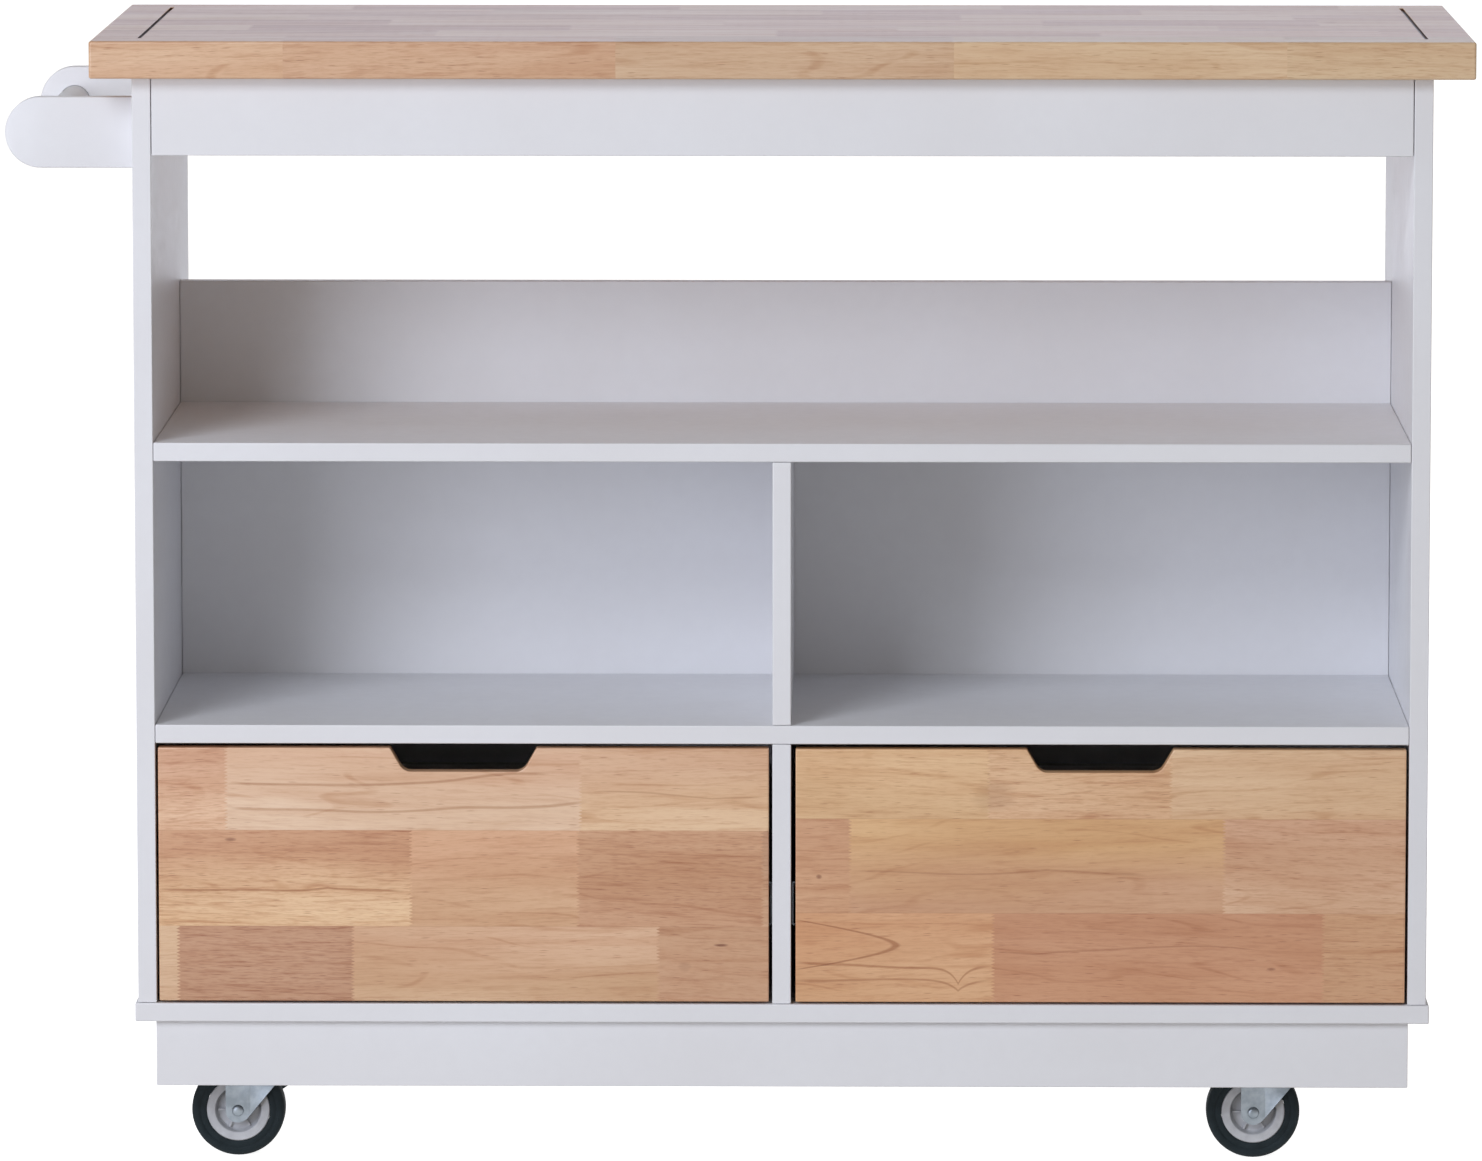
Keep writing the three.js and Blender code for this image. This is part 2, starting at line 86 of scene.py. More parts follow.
def piece_from(name, bm, body, nodes, finish, sharp_angle=None):
    """Turns a bmesh into a piece that rides a body and stands for the named solids."""
    mesh = bpy.data.meshes.new(name)
    if sharp_angle is not None:
        for face in bm.faces:
            face.smooth = True
    bm.to_mesh(mesh)
    bm.free()
    if sharp_angle is not None:
        mesh.set_sharp_from_angle(angle=math.radians(sharp_angle))
    mesh.materials.append(finish)
    obj = bpy.data.objects.new(name, mesh)
    bpy.context.scene.collection.objects.link(obj)
    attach(obj, body)
    if nodes:
        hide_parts(*nodes)
    return obj


def ease(bm, radius, segments=3, edges=None, least=40.0):
    """Rounds the given edges, or every edge whose faces meet at more than least degrees."""
    if edges is None:
        edges = [
            e for e in bm.edges
            if len(e.link_faces) == 2 and e.calc_face_angle() > math.radians(least)
        ]
    made = bmesh.ops.bevel(
        bm, geom=edges, offset=radius, offset_type="OFFSET", affect="EDGES",
        segments=segments, profile=0.5, material=-1, clamp_overlap=True,
    )
    for face in made["faces"]:
        face.smooth = True


# %% [markdown]
# Painted boards and drawer boards are sawn panels with their sharp edges sanded off.
# A cube stretched to the frame's box is the board; a narrow bevel of three steps is the
# sanded edge, which catches a thin line of light just as the real one does.

# %% Make an eased board
def box_between(bm, low, high):
    """A box between two corners."""
    made = bmesh.ops.create_cube(bm, size=1.0)
    bmesh.ops.scale(bm, vec=Vector(high) - Vector(low), verts=made["verts"])
    bmesh.ops.translate(bm, vec=(Vector(high) + Vector(low)) / 2, verts=made["verts"])


def board(node, body, finish, radius=0.8, short=0.0):
    """A board with sanded edges, cut short at both ends by a few tenths if wanted."""
    low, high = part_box(node)
    low.x += short * MM
    high.x -= short * MM
    bm = bmesh.new()
    box_between(bm, low, high)
    ease(bm, radius * MM)
    return piece_from(node + "_board", bm, body, [node], finish)


# %% [markdown]
# Flat shapes with round corners come up again and again: drawer fronts, brackets, fork
# legs, caster plates. A face is drawn through its corner points and each corner is bevelled
# as a vertex, which leaves a true arc of the radius that is asked for.

# %% Draw a face with rounded corners
def rounded_face(bm, corners, place, segments=8):
    """A flat face through (u, v, radius) corners, put in space by place(u, v)."""
    verts = [bm.verts.new(place(u, v)) for u, v, radius in corners]
    bm.faces.new(verts)
    count = len(corners)
    for i, (u, v, radius) in enumerate(corners):
        if radius <= 0:
            continue
        here = Vector((u, v))
        back = (Vector(corners[i - 1][:2]) - here).normalized()
        ahead = (Vector(corners[(i + 1) % count][:2]) - here).normalized()
        slide = radius / math.tan(back.angle(ahead) / 2)
        bmesh.ops.bevel(
            bm, geom=[verts[i]], offset=slide, offset_type="OFFSET", affect="VERTICES",
            segments=segments, profile=0.5, material=-1, clamp_overlap=False,
        )
    bm.faces.ensure_lookup_table()
    return bm.faces[0]


def push(bm, made, along):
    """Moves the vertices that an extrusion made."""
    verts = [g for g in made["geom"] if isinstance(g, bmesh.types.BMVert)]
    bmesh.ops.translate(bm, vec=along, verts=verts)


def extrude_flat(bm, face, along):
    """Gives a flat face a thickness and turns all its faces outwards."""
    push(bm, bmesh.ops.extrude_face_region(bm, geom=[face]), along)
    bmesh.ops.recalc_face_normals(bm, faces=bm.faces)


def slice_at(bm, place, normal, dist=1e-7):
    """Cuts new edges into a mesh where a plane crosses it."""
    whole = bm.verts[:] + bm.edges[:] + bm.faces[:]
    bmesh.ops.bisect_plane(bm, geom=whole, plane_co=place, plane_no=normal, dist=dist)


def turned(bm, points, axis, centre, steps, closed=True):
    """Turns a profile of vertices about an axis into a solid of revolution."""
    verts = [bm.verts.new(p) for p in points]
    pairs = list(zip(verts, verts[1:]))
    if closed:
        pairs.append((verts[-1], verts[0]))
    edges = [bm.edges.new(pair) for pair in pairs]
    bmesh.ops.spin(
        bm, geom=verts + edges, cent=centre, axis=axis, dvec=(0, 0, 0),
        angle=2 * math.pi, steps=steps, use_merge=True, use_duplicate=False,
    )
    bmesh.ops.remove_doubles(bm, verts=bm.verts, dist=5e-5)
    bmesh.ops.recalc_face_normals(bm, faces=bm.faces)


# %% [markdown]
# ## Finishes
#
# A finish is a small tree of nodes. The helper below adds a node, sets its values and links
# its inputs in one line, so that each finish can be read as a recipe. Every pattern reads
# Object coordinates: all pieces share one origin, so a pattern stays put on its piece when
# a drawer slides or a wheel turns.

# %% Node helpers
def feed(tree, socket, value):
    """Links an output to a socket, or sets the socket to a plain value."""
    if isinstance(value, bpy.types.NodeSocket):
        tree.links.new(value, socket)
    else:
        socket.default_value = value


def node(tree, kind, inputs=(), **settings):
    """Adds a node; inputs gives the value or output that feeds each socket."""
    made = tree.nodes.new(kind)
    for key, value in settings.items():
        setattr(made, key, value)
    for socket, value in dict(inputs).items():
        feed(tree, made.inputs[socket], value)
    return made


def calc(tree, operation, a, b=0.0, c=0.0):
    """A Math node's output."""
    return node(tree, "ShaderNodeMath", {0: a, 1: b, 2: c}, operation=operation).outputs[0]


def apart(tree, a, b):
    """How far two numbers are apart."""
    return calc(tree, "ABSOLUTE", calc(tree, "SUBTRACT", a, b))


def spread(tree, value, low, high, to_low=0.0, to_high=1.0):
    """Moves a value from one range to another and holds it there."""
    inputs = {
        "Value": value, "From Min": low, "From Max": high, "To Min": to_low, "To Max": to_high,
    }
    return node(tree, "ShaderNodeMapRange", inputs, clamp=True).outputs["Result"]


def stretched(tree, coords, scale):
    """Coordinates scaled along X, Y and Z."""
    return node(tree, "ShaderNodeMapping", {"Vector": coords, "Scale": scale}).outputs["Vector"]


def noise(tree, coords, scale, detail, dimensions="3D", **more):
    """A noise's height; three numbers as its scale stretch it along X, Y and Z."""
    if isinstance(scale, tuple):
        coords = stretched(tree, coords, scale)
        scale = 1.0
    inputs = {"Vector": coords, "Scale": scale, "Detail": detail, **more}
    return node(tree, "ShaderNodeTexNoise", inputs, noise_dimensions=dimensions).outputs["Fac"]


def tinted(tree, blend, factor, a, b):
    """Two colours mixed."""
    inputs = {0: factor, 6: a, 7: b}
    return node(tree, "ShaderNodeMix", inputs, data_type="RGBA", blend_type=blend).outputs[2]


def stained(tree, factor, base, red, green, blue):
    """A colour darkened by a stain, as far as the factor says."""
    return tinted(tree, "MULTIPLY", factor, base, (red, green, blue, 1.0))


def new_finish(name):
    """An empty material with its shader and output, and its Object coordinates."""
    finish = bpy.data.materials.new(name)
    finish.use_nodes = True
    tree = finish.node_tree
    shader = tree.nodes["Principled BSDF"]
    coords = tree.nodes.new("ShaderNodeTexCoord").outputs["Object"]
    return finish, tree, shader, coords


def surface(tree, shader, base, gloss, height, strength, distance):
    """Gives the shader its colour and roughness, and its bump from a height."""
    feed(tree, shader.inputs["Base Color"], base)
    feed(tree, shader.inputs["Roughness"], gloss)
    inputs = {"Height": height, "Strength": strength, "Distance": distance}
    bump = node(tree, "ShaderNodeBump", inputs)
    feed(tree, shader.inputs["Normal"], bump.outputs["Normal"])


def rgb(red, green, blue):
    """A colour given as the usual 0 to 255 values, made linear."""
    def linear(value):
        value = value / 255
        if value <= 0.04045:
            return value / 12.92
        return ((value + 0.055) / 1.055) ** 2.4
    return (linear(red), linear(green), linear(blue), 1.0)


# %% [markdown]
# ### White paint
#
# The carcass is sprayed with a satin white that leans slightly to blue. Sprayed paint is
# never one flat colour: it pools a little, and dries with a fine orange-peel skin. Broad
# noise shifts the tone by a percent or two, a finer noise lifts and drops the gloss, and a
# fine one is the skin, as bump. A flat colour would look like paper.

# %% White paint
def make_white_paint():
    finish, tree, shader, coords = new_finish("white_paint")
    pooled = spread(tree, noise(tree, coords, 7.0, 3.0), 0.3, 0.7)
    dusting = noise(tree, coords, 90.0, 4.0)
    skin = noise(tree, coords, 520.0, 2.0)
    base = tinted(tree, "MIX", pooled, rgb(231, 231, 234), rgb(235, 236, 240))
    speck = calc(tree, "MULTIPLY", spread(tree, dusting, 0.35, 0.75), 0.25)
    base = tinted(tree, "MIX", speck, base, rgb(227, 227, 231))
    gloss = spread(tree, dusting, 0.3, 0.7, 0.40, 0.52)
    surface(tree, shader, base, gloss, skin, 0.12, 0.0004)
    return finish


white_paint = make_white_paint()
print("white paint has", len(white_paint.node_tree.nodes), "nodes")

# %% [markdown]
# ### Rubberwood
#
# The worktop and the drawer fronts are edge-glued panels: rows of short staves, finger
# jointed end to end and lacquered. Each stave has a tone of its own, and the grain stops
# dead at every joint. The panel could be built from separate sticks, but real ones are
# sanded flush, so the staves belong in the finish and the panel stays one solid.
#
# Each row is a pair of colour ramps along X whose stops are the staves, held constant
# between joints: one ramp for the tone at the lower edge of the row, one for the upper,
# because a stick is often paler on the side that grew under the bark. The alpha of the
# first carries a number for each stave, which moves the noise that draws the grain, so
# neighbours never share a line. The alpha of the second says how thick the pores stand.
# A small zigzag added to X turns each joint into the comb of a finger joint.

# %% Staves
FINGER_WIDTH = 0.0014
FINGER_SLOPE = 2.4
FINGER_BACK = 0.0017


def row_ramp(tree, along, span, row, side, alphas):
    """A ramp along X that is constant over each stave."""
    ramp = node(tree, "ShaderNodeValToRGB", {"Fac": along})
    ramp.color_ramp.interpolation = "CONSTANT"
    stops = ramp.color_ramp.elements
    for k, stave in enumerate(row):
        place = min(max((stave[0] - span[0]) / (span[1] - span[0]), 0.0), 1.0)
        stop = stops[k] if k < 2 else stops.new(place)
        stop.position = place
        stop.color = rgb(*stave[side])[:3] + (alphas[k],)
    return ramp.outputs["Color"], ramp.outputs["Alpha"]


def chosen(tree, past, before, after):
    """A number that changes when past turns from 0 to 1."""
    return node(tree, "ShaderNodeMix", {0: past, 2: before, 3: after}).outputs[0]


def staves(tree, x, across, wander, rows, span, top):
    """The tone, the number and the pores of the stave at each point of a panel."""
    tooth = calc(tree, "PINGPONG", across, FINGER_WIDTH)
    comb = calc(tree, "MULTIPLY_ADD", tooth, FINGER_SLOPE, -FINGER_BACK)
    along = spread(tree, calc(tree, "ADD", x, comb), span[0], span[1])
    sway = calc(tree, "MULTIPLY_ADD", wander, 0.05, -0.025)
    height = calc(tree, "ADD", across, sway)
    count = sum(len(row) for limit, row in rows)
    used = 0
    tone = None
    for i, (limit, row) in enumerate(rows):
        ceiling = rows[i + 1][0] if i + 1 < len(rows) else top
        numbers = [((used + k) * 7 % count + 1) / (count + 1) for k in range(len(row))]
        used += len(row)
        pores = [stave[3] for stave in row]
        low_tone, low_number = row_ramp(tree, along, span, row, 1, numbers)
        high_tone, high_pores = row_ramp(tree, along, span, row, 2, pores)
        fade = 0.2 * (ceiling - limit)
        rise = spread(tree, height, limit + fade, ceiling - fade)
        row_tone = tinted(tree, "MIX", rise, low_tone, high_tone)
        if tone is None:
            tone, number, pore = row_tone, low_number, high_pores
            continue
        past = calc(tree, "GREATER_THAN", across, limit)
        tone = tinted(tree, "MIX", past, tone, row_tone)
        number = chosen(tree, past, number, low_number)
        pore = chosen(tree, past, pore, high_pores)
    return tone, number, pore


# %% [markdown]
# The grain is drawn in layers, from broad to fine: clouds of colour a hand wide, growth
# lines that wander along the stave, thin reddish fibres, and the short dark pores that mark
# rubberwood. All the noise is stretched along X, the way the wood grew, so the ends of the
# boards show end grain without any extra work. No stick is sawn quite true to its grain, so
# each stave's lines lean by a few degrees of their own.
#
# Two kinds of mark are placed one by one, because noise never draws them: small knots, and
# veins, the single dark growth lines that run for a hand's length and may dip or bend back
# on themselves round an old twig.

# %% Knots and veins
def knot(tree, base, x, across, rough, mark):
    """A dark spot with a ragged edge."""
    place_x, place_across, half_long, half_wide, depth = mark
    u = calc(tree, "DIVIDE", calc(tree, "SUBTRACT", x, place_x), half_long)
    v = calc(tree, "DIVIDE", calc(tree, "SUBTRACT", across, place_across), half_wide)
    far = calc(tree, "ADD", calc(tree, "MULTIPLY", u, u), calc(tree, "MULTIPLY", v, v))
    far = calc(tree, "ADD", far, calc(tree, "MULTIPLY_ADD", rough, 2.4, -1.2))
    spot = spread(tree, far, 0.0, 1.0, depth, 0.0)
    return stained(tree, spot, base, 0.42, 0.29, 0.23)


def vein(tree, base, x, across, wander, mark):
    """A thin dark line along the stave that may dip at one place."""
    start, end, height, dip_x, dip, half_dip, width, depth = mark
    near = calc(tree, "DIVIDE", calc(tree, "SUBTRACT", x, dip_x), half_dip)
    notch = calc(tree, "EXPONENT", calc(tree, "MULTIPLY", calc(tree, "ABSOLUTE", near), -1.6))
    level = calc(tree, "MULTIPLY_ADD", notch, -dip, height)
    level = calc(tree, "ADD", level, calc(tree, "MULTIPLY_ADD", wander, 0.022, -0.011))
    line = spread(tree, apart(tree, across, level), width * 0.3, width, depth, 0.0)
    line = calc(tree, "MULTIPLY", line, spread(tree, x, start, start + 0.012))
    line = calc(tree, "MULTIPLY", line, spread(tree, x, end - 0.012, end, 1.0, 0.0))
    return stained(tree, line, base, 0.62, 0.47, 0.36)


def arch(tree, base, x, across, wander, mark):
    """A pointed arch of growth lines, as where a stick is sawn across its cone of rings."""
    tip, height, bend, start, width, depth = mark
    rise = calc(tree, "POWER", apart(tree, across, height), 1.65)
    field = calc(tree, "MULTIPLY_ADD", rise, bend, x)
    field = calc(tree, "ADD", field, calc(tree, "MULTIPLY_ADD", wander, 0.03, -0.015))
    line = spread(tree, apart(tree, field, tip), width * 0.35, width, depth, 0.0)
    line = calc(tree, "MULTIPLY", line, spread(tree, x, start, start + 0.01))
    inside = spread(tree, field, tip - 0.012, tip, 0.7, 0.0)
    base = stained(tree, inside, base, 0.94, 0.87, 0.82)
    return stained(tree, line, base, 0.60, 0.45, 0.34)


def groove_shade(tree, base, x, across, z, mark):
    """Painted shade: darkens the wood between two depths of a narrow groove, where the groove's own
    shadow falls.
    """
    groove_x, half, half_long, deep, shallow = mark
    inside = calc(tree, "LESS_THAN", apart(tree, x, groove_x), half)
    along = calc(tree, "LESS_THAN", calc(tree, "ABSOLUTE", across), half_long)
    inside = calc(tree, "MULTIPLY", inside, along)
    inside = calc(tree, "MULTIPLY", inside, calc(tree, "GREATER_THAN", z, deep))
    painted_shade = calc(tree, "MULTIPLY", inside, spread(tree, z, shallow - 0.0006, shallow, 1.0, 0.0))
    return stained(tree, painted_shade, base, 0.16, 0.11, 0.10)


# %% Rubberwood
def make_rubberwood(name, across_axis, rows, span, top, knots=(), veins=(), arches=(), groove_shades=()):
    finish, tree, shader, coords = new_finish(name)
    parts = node(tree, "ShaderNodeSeparateXYZ", {"Vector": coords})
    x = parts.outputs["X"]
    across = parts.outputs[across_axis]
    wander = noise(tree, coords, (6.0, 20.0, 20.0), 1.0)
    tone, number, pores = staves(tree, x, across, wander, rows, span, top)
    seed = calc(tree, "MULTIPLY", number, 61.0)
    lean = calc(tree, "MULTIPLY", calc(tree, "MULTIPLY_ADD", number, 0.10, -0.05), x)
    aside = node(tree, "ShaderNodeCombineXYZ", {"Y": lean, "Z": lean}).outputs[0]
    leaning = node(tree, "ShaderNodeVectorMath", {0: coords, 1: aside}, operation="ADD").outputs[0]

    def grain(scale, detail, rough=0.55):
        return noise(tree, leaning, scale, detail, "4D", W=seed, Roughness=rough)

    cloud = grain((3.4, 17.0, 17.0), 2.0)
    streak = grain((5.0, 90.0, 90.0), 4.0, 0.62)
    fibre = grain((26.0, 520.0, 520.0), 3.0, 0.62)
    hair = grain((95.0, 1000.0, 1000.0), 2.0, 0.6)

    light = stained(tree, 1.0, tone, 1.10, 1.13, 1.16)
    dark = stained(tree, 1.0, tone, 0.96, 0.90, 0.84)
    base = tinted(tree, "MIX", spread(tree, cloud, 0.36, 0.64), dark, light)

    drift = calc(tree, "MULTIPLY", cloud, 52.0)
    rings = calc(tree, "SINE", calc(tree, "MULTIPLY_ADD", across, 230.0, drift))
    strong = spread(tree, streak, 0.44, 0.60, 0.1, 0.85)
    line = calc(tree, "MULTIPLY", spread(tree, rings, 0.86, 1.0), strong)
    base = stained(tree, line, base, 0.84, 0.74, 0.66)

    band = spread(tree, streak, 0.44, 0.66, 0.0, 0.7)
    base = stained(tree, band, base, 0.86, 0.76, 0.69)
    dense = calc(tree, "MULTIPLY_ADD", pores, 1.6, 0.20)
    thin = calc(tree, "MULTIPLY", spread(tree, fibre, 0.51, 0.66), dense)
    base = stained(tree, thin, base, 0.74, 0.59, 0.50)
    speck = calc(tree, "MULTIPLY", spread(tree, hair, 0.48, 0.68), dense)
    base = stained(tree, speck, base, 0.80, 0.67, 0.59)

    inputs = {"Vector": stretched(tree, coords, (84.0, 1150.0, 1150.0)), "W": seed, "Scale": 1.0}
    cells = node(tree, "ShaderNodeTexVoronoi", inputs, voronoi_dimensions="4D")
    hole = spread(tree, cells.outputs["Distance"], 0.18, 0.40, 1.0, 0.0)
    shade = node(tree, "ShaderNodeSeparateColor", {"Color": cells.outputs["Color"]})
    rare = calc(tree, "SUBTRACT", shade.outputs[0], calc(tree, "SUBTRACT", 0.86, pores))
    pore = calc(tree, "MULTIPLY", hole, spread(tree, rare, 0.0, 0.12))
    base = stained(tree, calc(tree, "MULTIPLY", pore, 0.8), base, 0.60, 0.44, 0.35)

    for limit, row in rows[1:]:
        glue = spread(tree, apart(tree, across, limit), 0.00012, 0.00045, 0.40, 0.0)
        base = stained(tree, glue, base, 0.72, 0.60, 0.52)
    for draw, guide, marks in (
        (knot, streak, knots), (vein, wander, veins), (arch, wander, arches),
        (groove_shade, parts.outputs["Z"], groove_shades),
    ):
        for mark in marks:
            base = draw(tree, base, x, across, guide, mark)

    satin = spread(tree, streak, 0.3, 0.7, 0.30, 0.42)
    gloss = calc(tree, "MULTIPLY_ADD", pore, 0.15, satin)
    relief = calc(tree, "SUBTRACT", calc(tree, "MULTIPLY", fibre, 0.35), pore)
    surface(tree, shader, base, gloss, relief, 0.22, 0.0003)
    shader.inputs["Coat Weight"].default_value = 0.24
    shader.inputs["Coat Roughness"].default_value = 0.24
    return finish


# %% [markdown]
# The stave layouts are listed one by one, as a joiner sorts sticks before gluing: each row
# gives where its staves start, in metres along X, the tone at the lower and at the upper
# edge of each, and how thick its pores stand, from 0 to about 0.5. Rows run from the bottom
# up on the drawer fronts, and from the front to the back on the worktop.

# %% Stave layouts
left_front_rows = [
    (0.1385, [
        (-0.470, (224, 190, 156), (226, 192, 156), 0.10),
        (-0.4515, (194, 149, 117), (197, 152, 120), 0.42),
        (-0.3105, (214, 176, 139), (220, 180, 146), 0.12),
        (-0.0648, (205, 162, 128), (201, 156, 121), 0.20),
    ]),
    (0.1996, [
        (-0.470, (236, 200, 158), (211, 163, 127), 0.34),
        (-0.2646, (215, 173, 135), (216, 168, 131), 0.16),
        (-0.1293, (205, 159, 124), (207, 161, 125), 0.26),
        (0.0198, (205, 163, 128), (197, 154, 122), 0.20),
    ]),
    (0.2777, [
        (-0.470, (230, 190, 156), (220, 175, 144), 0.30),
        (-0.4129, (232, 200, 170), (228, 190, 159), 0.06),
        (-0.1277, (236, 203, 166), (224, 185, 152), 0.14),
    ]),
]
right_front_rows = [
    (0.1385, [
        (0.040, (220, 174, 131), (221, 172, 130), 0.14),
        (0.2045, (209, 157, 121), (208, 156, 121), 0.12),
        (0.4708, (210, 165, 127), (215, 171, 133), 0.24),
    ]),
    (0.2111, [
        (0.040, (210, 163, 125), (208, 160, 123), 0.24),
        (0.0895, (213, 169, 134), (223, 181, 132), 0.08),
        (0.3911, (219, 179, 145), (216, 172, 139), 0.20),
    ]),
    (0.2878, [
        (0.040, (220, 181, 136), (230, 192, 148), 0.16),
        (0.2021, (230, 192, 154), (223, 183, 142), 0.28),
        (0.3485, (229, 195, 157), (230, 197, 160), 0.12),
    ]),
]
worktop_rows = [
    (-0.230, [
        (-0.530, (223, 188, 155), (222, 185, 152), 0.16),
        (-0.3635, (218, 181, 149), (220, 182, 150), 0.22),
        (-0.0992, (212, 180, 147), (213, 180, 147), 0.14),
        (0.1701, (223, 194, 158), (224, 194, 158), 0.12),
        (0.4347, (220, 192, 156), (218, 188, 154), 0.18),
    ]),
    (-0.163, [
        (-0.530, (224, 186, 152), (216, 178, 146), 0.28),
        (-0.245, (234, 202, 170), (230, 198, 166), 0.08),
        (0.030, (214, 172, 140), (222, 182, 150), 0.30),
        (0.290, (230, 194, 162), (226, 188, 156), 0.14),
        (0.515, (220, 180, 148), (218, 178, 146), 0.22),
    ]),
    (-0.096, [
        (-0.530, (230, 198, 166), (234, 204, 172), 0.10),
        (-0.400, (214, 172, 142), (210, 168, 136), 0.26),
        (-0.140, (228, 192, 160), (220, 182, 150), 0.18),
        (0.125, (232, 200, 170), (228, 196, 162), 0.08),
        (0.385, (216, 178, 148), (222, 184, 152), 0.24),
    ]),
    (-0.034, [
        (-0.530, (218, 178, 148), (212, 170, 138), 0.28),
        (-0.290, (230, 196, 164), (226, 190, 158), 0.12),
        (-0.015, (224, 186, 156), (230, 194, 162), 0.16),
        (0.245, (212, 170, 138), (216, 174, 142), 0.30),
        (0.470, (230, 198, 168), (226, 192, 160), 0.10),
    ]),
    (0.036, [
        (-0.530, (232, 202, 170), (228, 194, 162), 0.10),
        (-0.360, (222, 184, 152), (218, 180, 148), 0.22),
        (-0.085, (216, 176, 146), (212, 172, 140), 0.26),
        (0.180, (230, 198, 166), (234, 202, 170), 0.08),
        (0.450, (222, 184, 152), (218, 178, 146), 0.20),
    ]),
    (0.101, [
        (-0.530, (220, 182, 152), (226, 188, 156), 0.20),
        (-0.210, (228, 194, 162), (222, 188, 156), 0.12),
        (0.065, (220, 180, 148), (214, 172, 142), 0.26),
        (0.330, (232, 200, 170), (228, 194, 162), 0.10),
    ]),
    (0.166, [
        (-0.530, (228, 192, 160), (222, 184, 152), 0.16),
        (-0.330, (216, 174, 144), (220, 178, 148), 0.26),
        (-0.055, (230, 198, 166), (226, 192, 160), 0.10),
        (0.215, (218, 180, 148), (214, 174, 142), 0.24),
        (0.495, (228, 194, 162), (230, 196, 164), 0.12),
    ]),
]

# %% [markdown]
# Knots are (x, height, half length, half width, depth); veins are (start, end, height,
# where they dip, how far, over what length, width, depth); an arch is (tip, height, bend,
# start, width, depth), all in metres but the depths.

# %% Panels
left_wood = make_rubberwood(
    "rubberwood_left", "Z", left_front_rows, (-0.47, 0.03), 0.345,
    knots=[
        (-0.0132, 0.1846, 0.0060, 0.0013, 1.0), (-0.0422, 0.1668, 0.0060, 0.0050, 0.28),
        (-0.4080, 0.2700, 0.0050, 0.0016, 0.8),
    ],
    veins=[
        (-0.466, -0.268, 0.2285, -0.330, -0.003, 0.03, 0.0015, 0.95),
        (-0.410, -0.150, 0.3180, -0.100, -0.004, 0.20, 0.0016, 0.72),
        (-0.410, -0.120, 0.2960, -0.100, -0.006, 0.20, 0.0014, 0.66),
        (-0.115, 0.022, 0.3080, -0.020, 0.003, 0.05, 0.0010, 0.50),
    ],
)
right_wood = make_rubberwood(
    "rubberwood_right", "Z", right_front_rows, (0.04, 0.54), 0.345,
    knots=[
        (0.0658, 0.2406, 0.0026, 0.0022, 0.85), (0.2060, 0.3060, 0.0180, 0.0150, 0.26),
        (0.4300, 0.1660, 0.0040, 0.0014, 0.7),
    ],
    veins=[
        (0.046, 0.204, 0.1680, 0.1780, 0.014, 0.011, 0.0014, 0.85),
        (0.046, 0.204, 0.1575, 0.1780, 0.009, 0.016, 0.0013, 0.75),
        (0.095, 0.330, 0.2440, 0.2500, -0.004, 0.09, 0.0012, 0.50),
        (0.210, 0.420, 0.1800, 0.2400, 0.003, 0.05, 0.0010, 0.55),
    ],
    arches=[(0.1265, 0.1850, 49.0, 0.044, 0.0046, 0.9)],
)
top_wood = make_rubberwood(
    "rubberwood_worktop", "Y", worktop_rows, (-0.53, 0.60), 0.23,
    # The two grooves get painted shade: their walls and floor are darkened between two depths.
    groove_shades=[(x, 0.0021, 0.194, 0.9110, 0.9138) for x in (-0.47875, 0.55025)],
)
print("staves on the worktop:", sum(len(row) for limit, row in worktop_rows))

# %% [markdown]
# ### Steel, plastic, rubber and drawer board
#
# Casters and runners are zinc-plated: a grey metal whose plating clouds a little and keeps
# the faint lines of the rolled sheet. The hubs are moulded grey plastic with a sparked
# skin, the tyres a dark rubber with dust in its pores, and the drawer boxes a pale foil
# printed with a faint weave. Each gets its own scale of pattern, because scale is what
# tells the eye which material it sees.

# %% Steel, plastic, rubber and drawer board
def make_zinc():
    finish, tree, shader, coords = new_finish("zinc_steel")
    bloom = noise(tree, coords, 140.0, 4.0)
    rolled = noise(tree, coords, (900.0, 900.0, 60.0), 2.0)
    cloudy = spread(tree, bloom, 0.35, 0.65)
    base = tinted(tree, "MIX", cloudy, rgb(124, 132, 139), rgb(148, 156, 163))
    worn = spread(tree, bloom, 0.3, 0.7, 0.30, 0.46)
    surface(tree, shader, base, worn, rolled, 0.10, 0.0002)
    shader.inputs["Metallic"].default_value = 0.85
    return finish


def make_moulded(name, dark, pale, scale, gloss, depth, shine):
    finish, tree, shader, coords = new_finish(name)
    broad = spread(tree, noise(tree, coords, scale, 3.0), 0.35, 0.65)
    grit = noise(tree, coords, scale * 14.0, 2.0)
    base = tinted(tree, "MIX", broad, rgb(*dark), rgb(*pale))
    skin = spread(tree, grit, 0.3, 0.7, gloss - 0.06, gloss + 0.08)
    surface(tree, shader, base, skin, grit, depth, 0.0003)
    shader.inputs["Specular IOR Level"].default_value = shine
    return finish


def make_drawer_board():
    finish, tree, shader, coords = new_finish("drawer_board")
    threads = {"Vector": coords, "Scale": 260.0, "Distortion": 1.5}
    weave_x = node(tree, "ShaderNodeTexWave", threads)
    weave_z = node(tree, "ShaderNodeTexWave", threads, bands_direction="Z")
    cross = calc(tree, "MULTIPLY", weave_x.outputs["Fac"], weave_z.outputs["Fac"])
    printed = noise(tree, coords, (60.0, 6.0, 60.0), 4.0)
    cloudy = spread(tree, printed, 0.3, 0.7)
    base = tinted(tree, "MIX", cloudy, rgb(221, 219, 214), rgb(227, 225, 221))
    base = tinted(tree, "MIX", calc(tree, "MULTIPLY", cross, 0.25), base, rgb(210, 207, 202))
    surface(tree, shader, base, spread(tree, printed, 0.3, 0.7, 0.50, 0.62), cross, 0.08, 0.0002)
    return finish


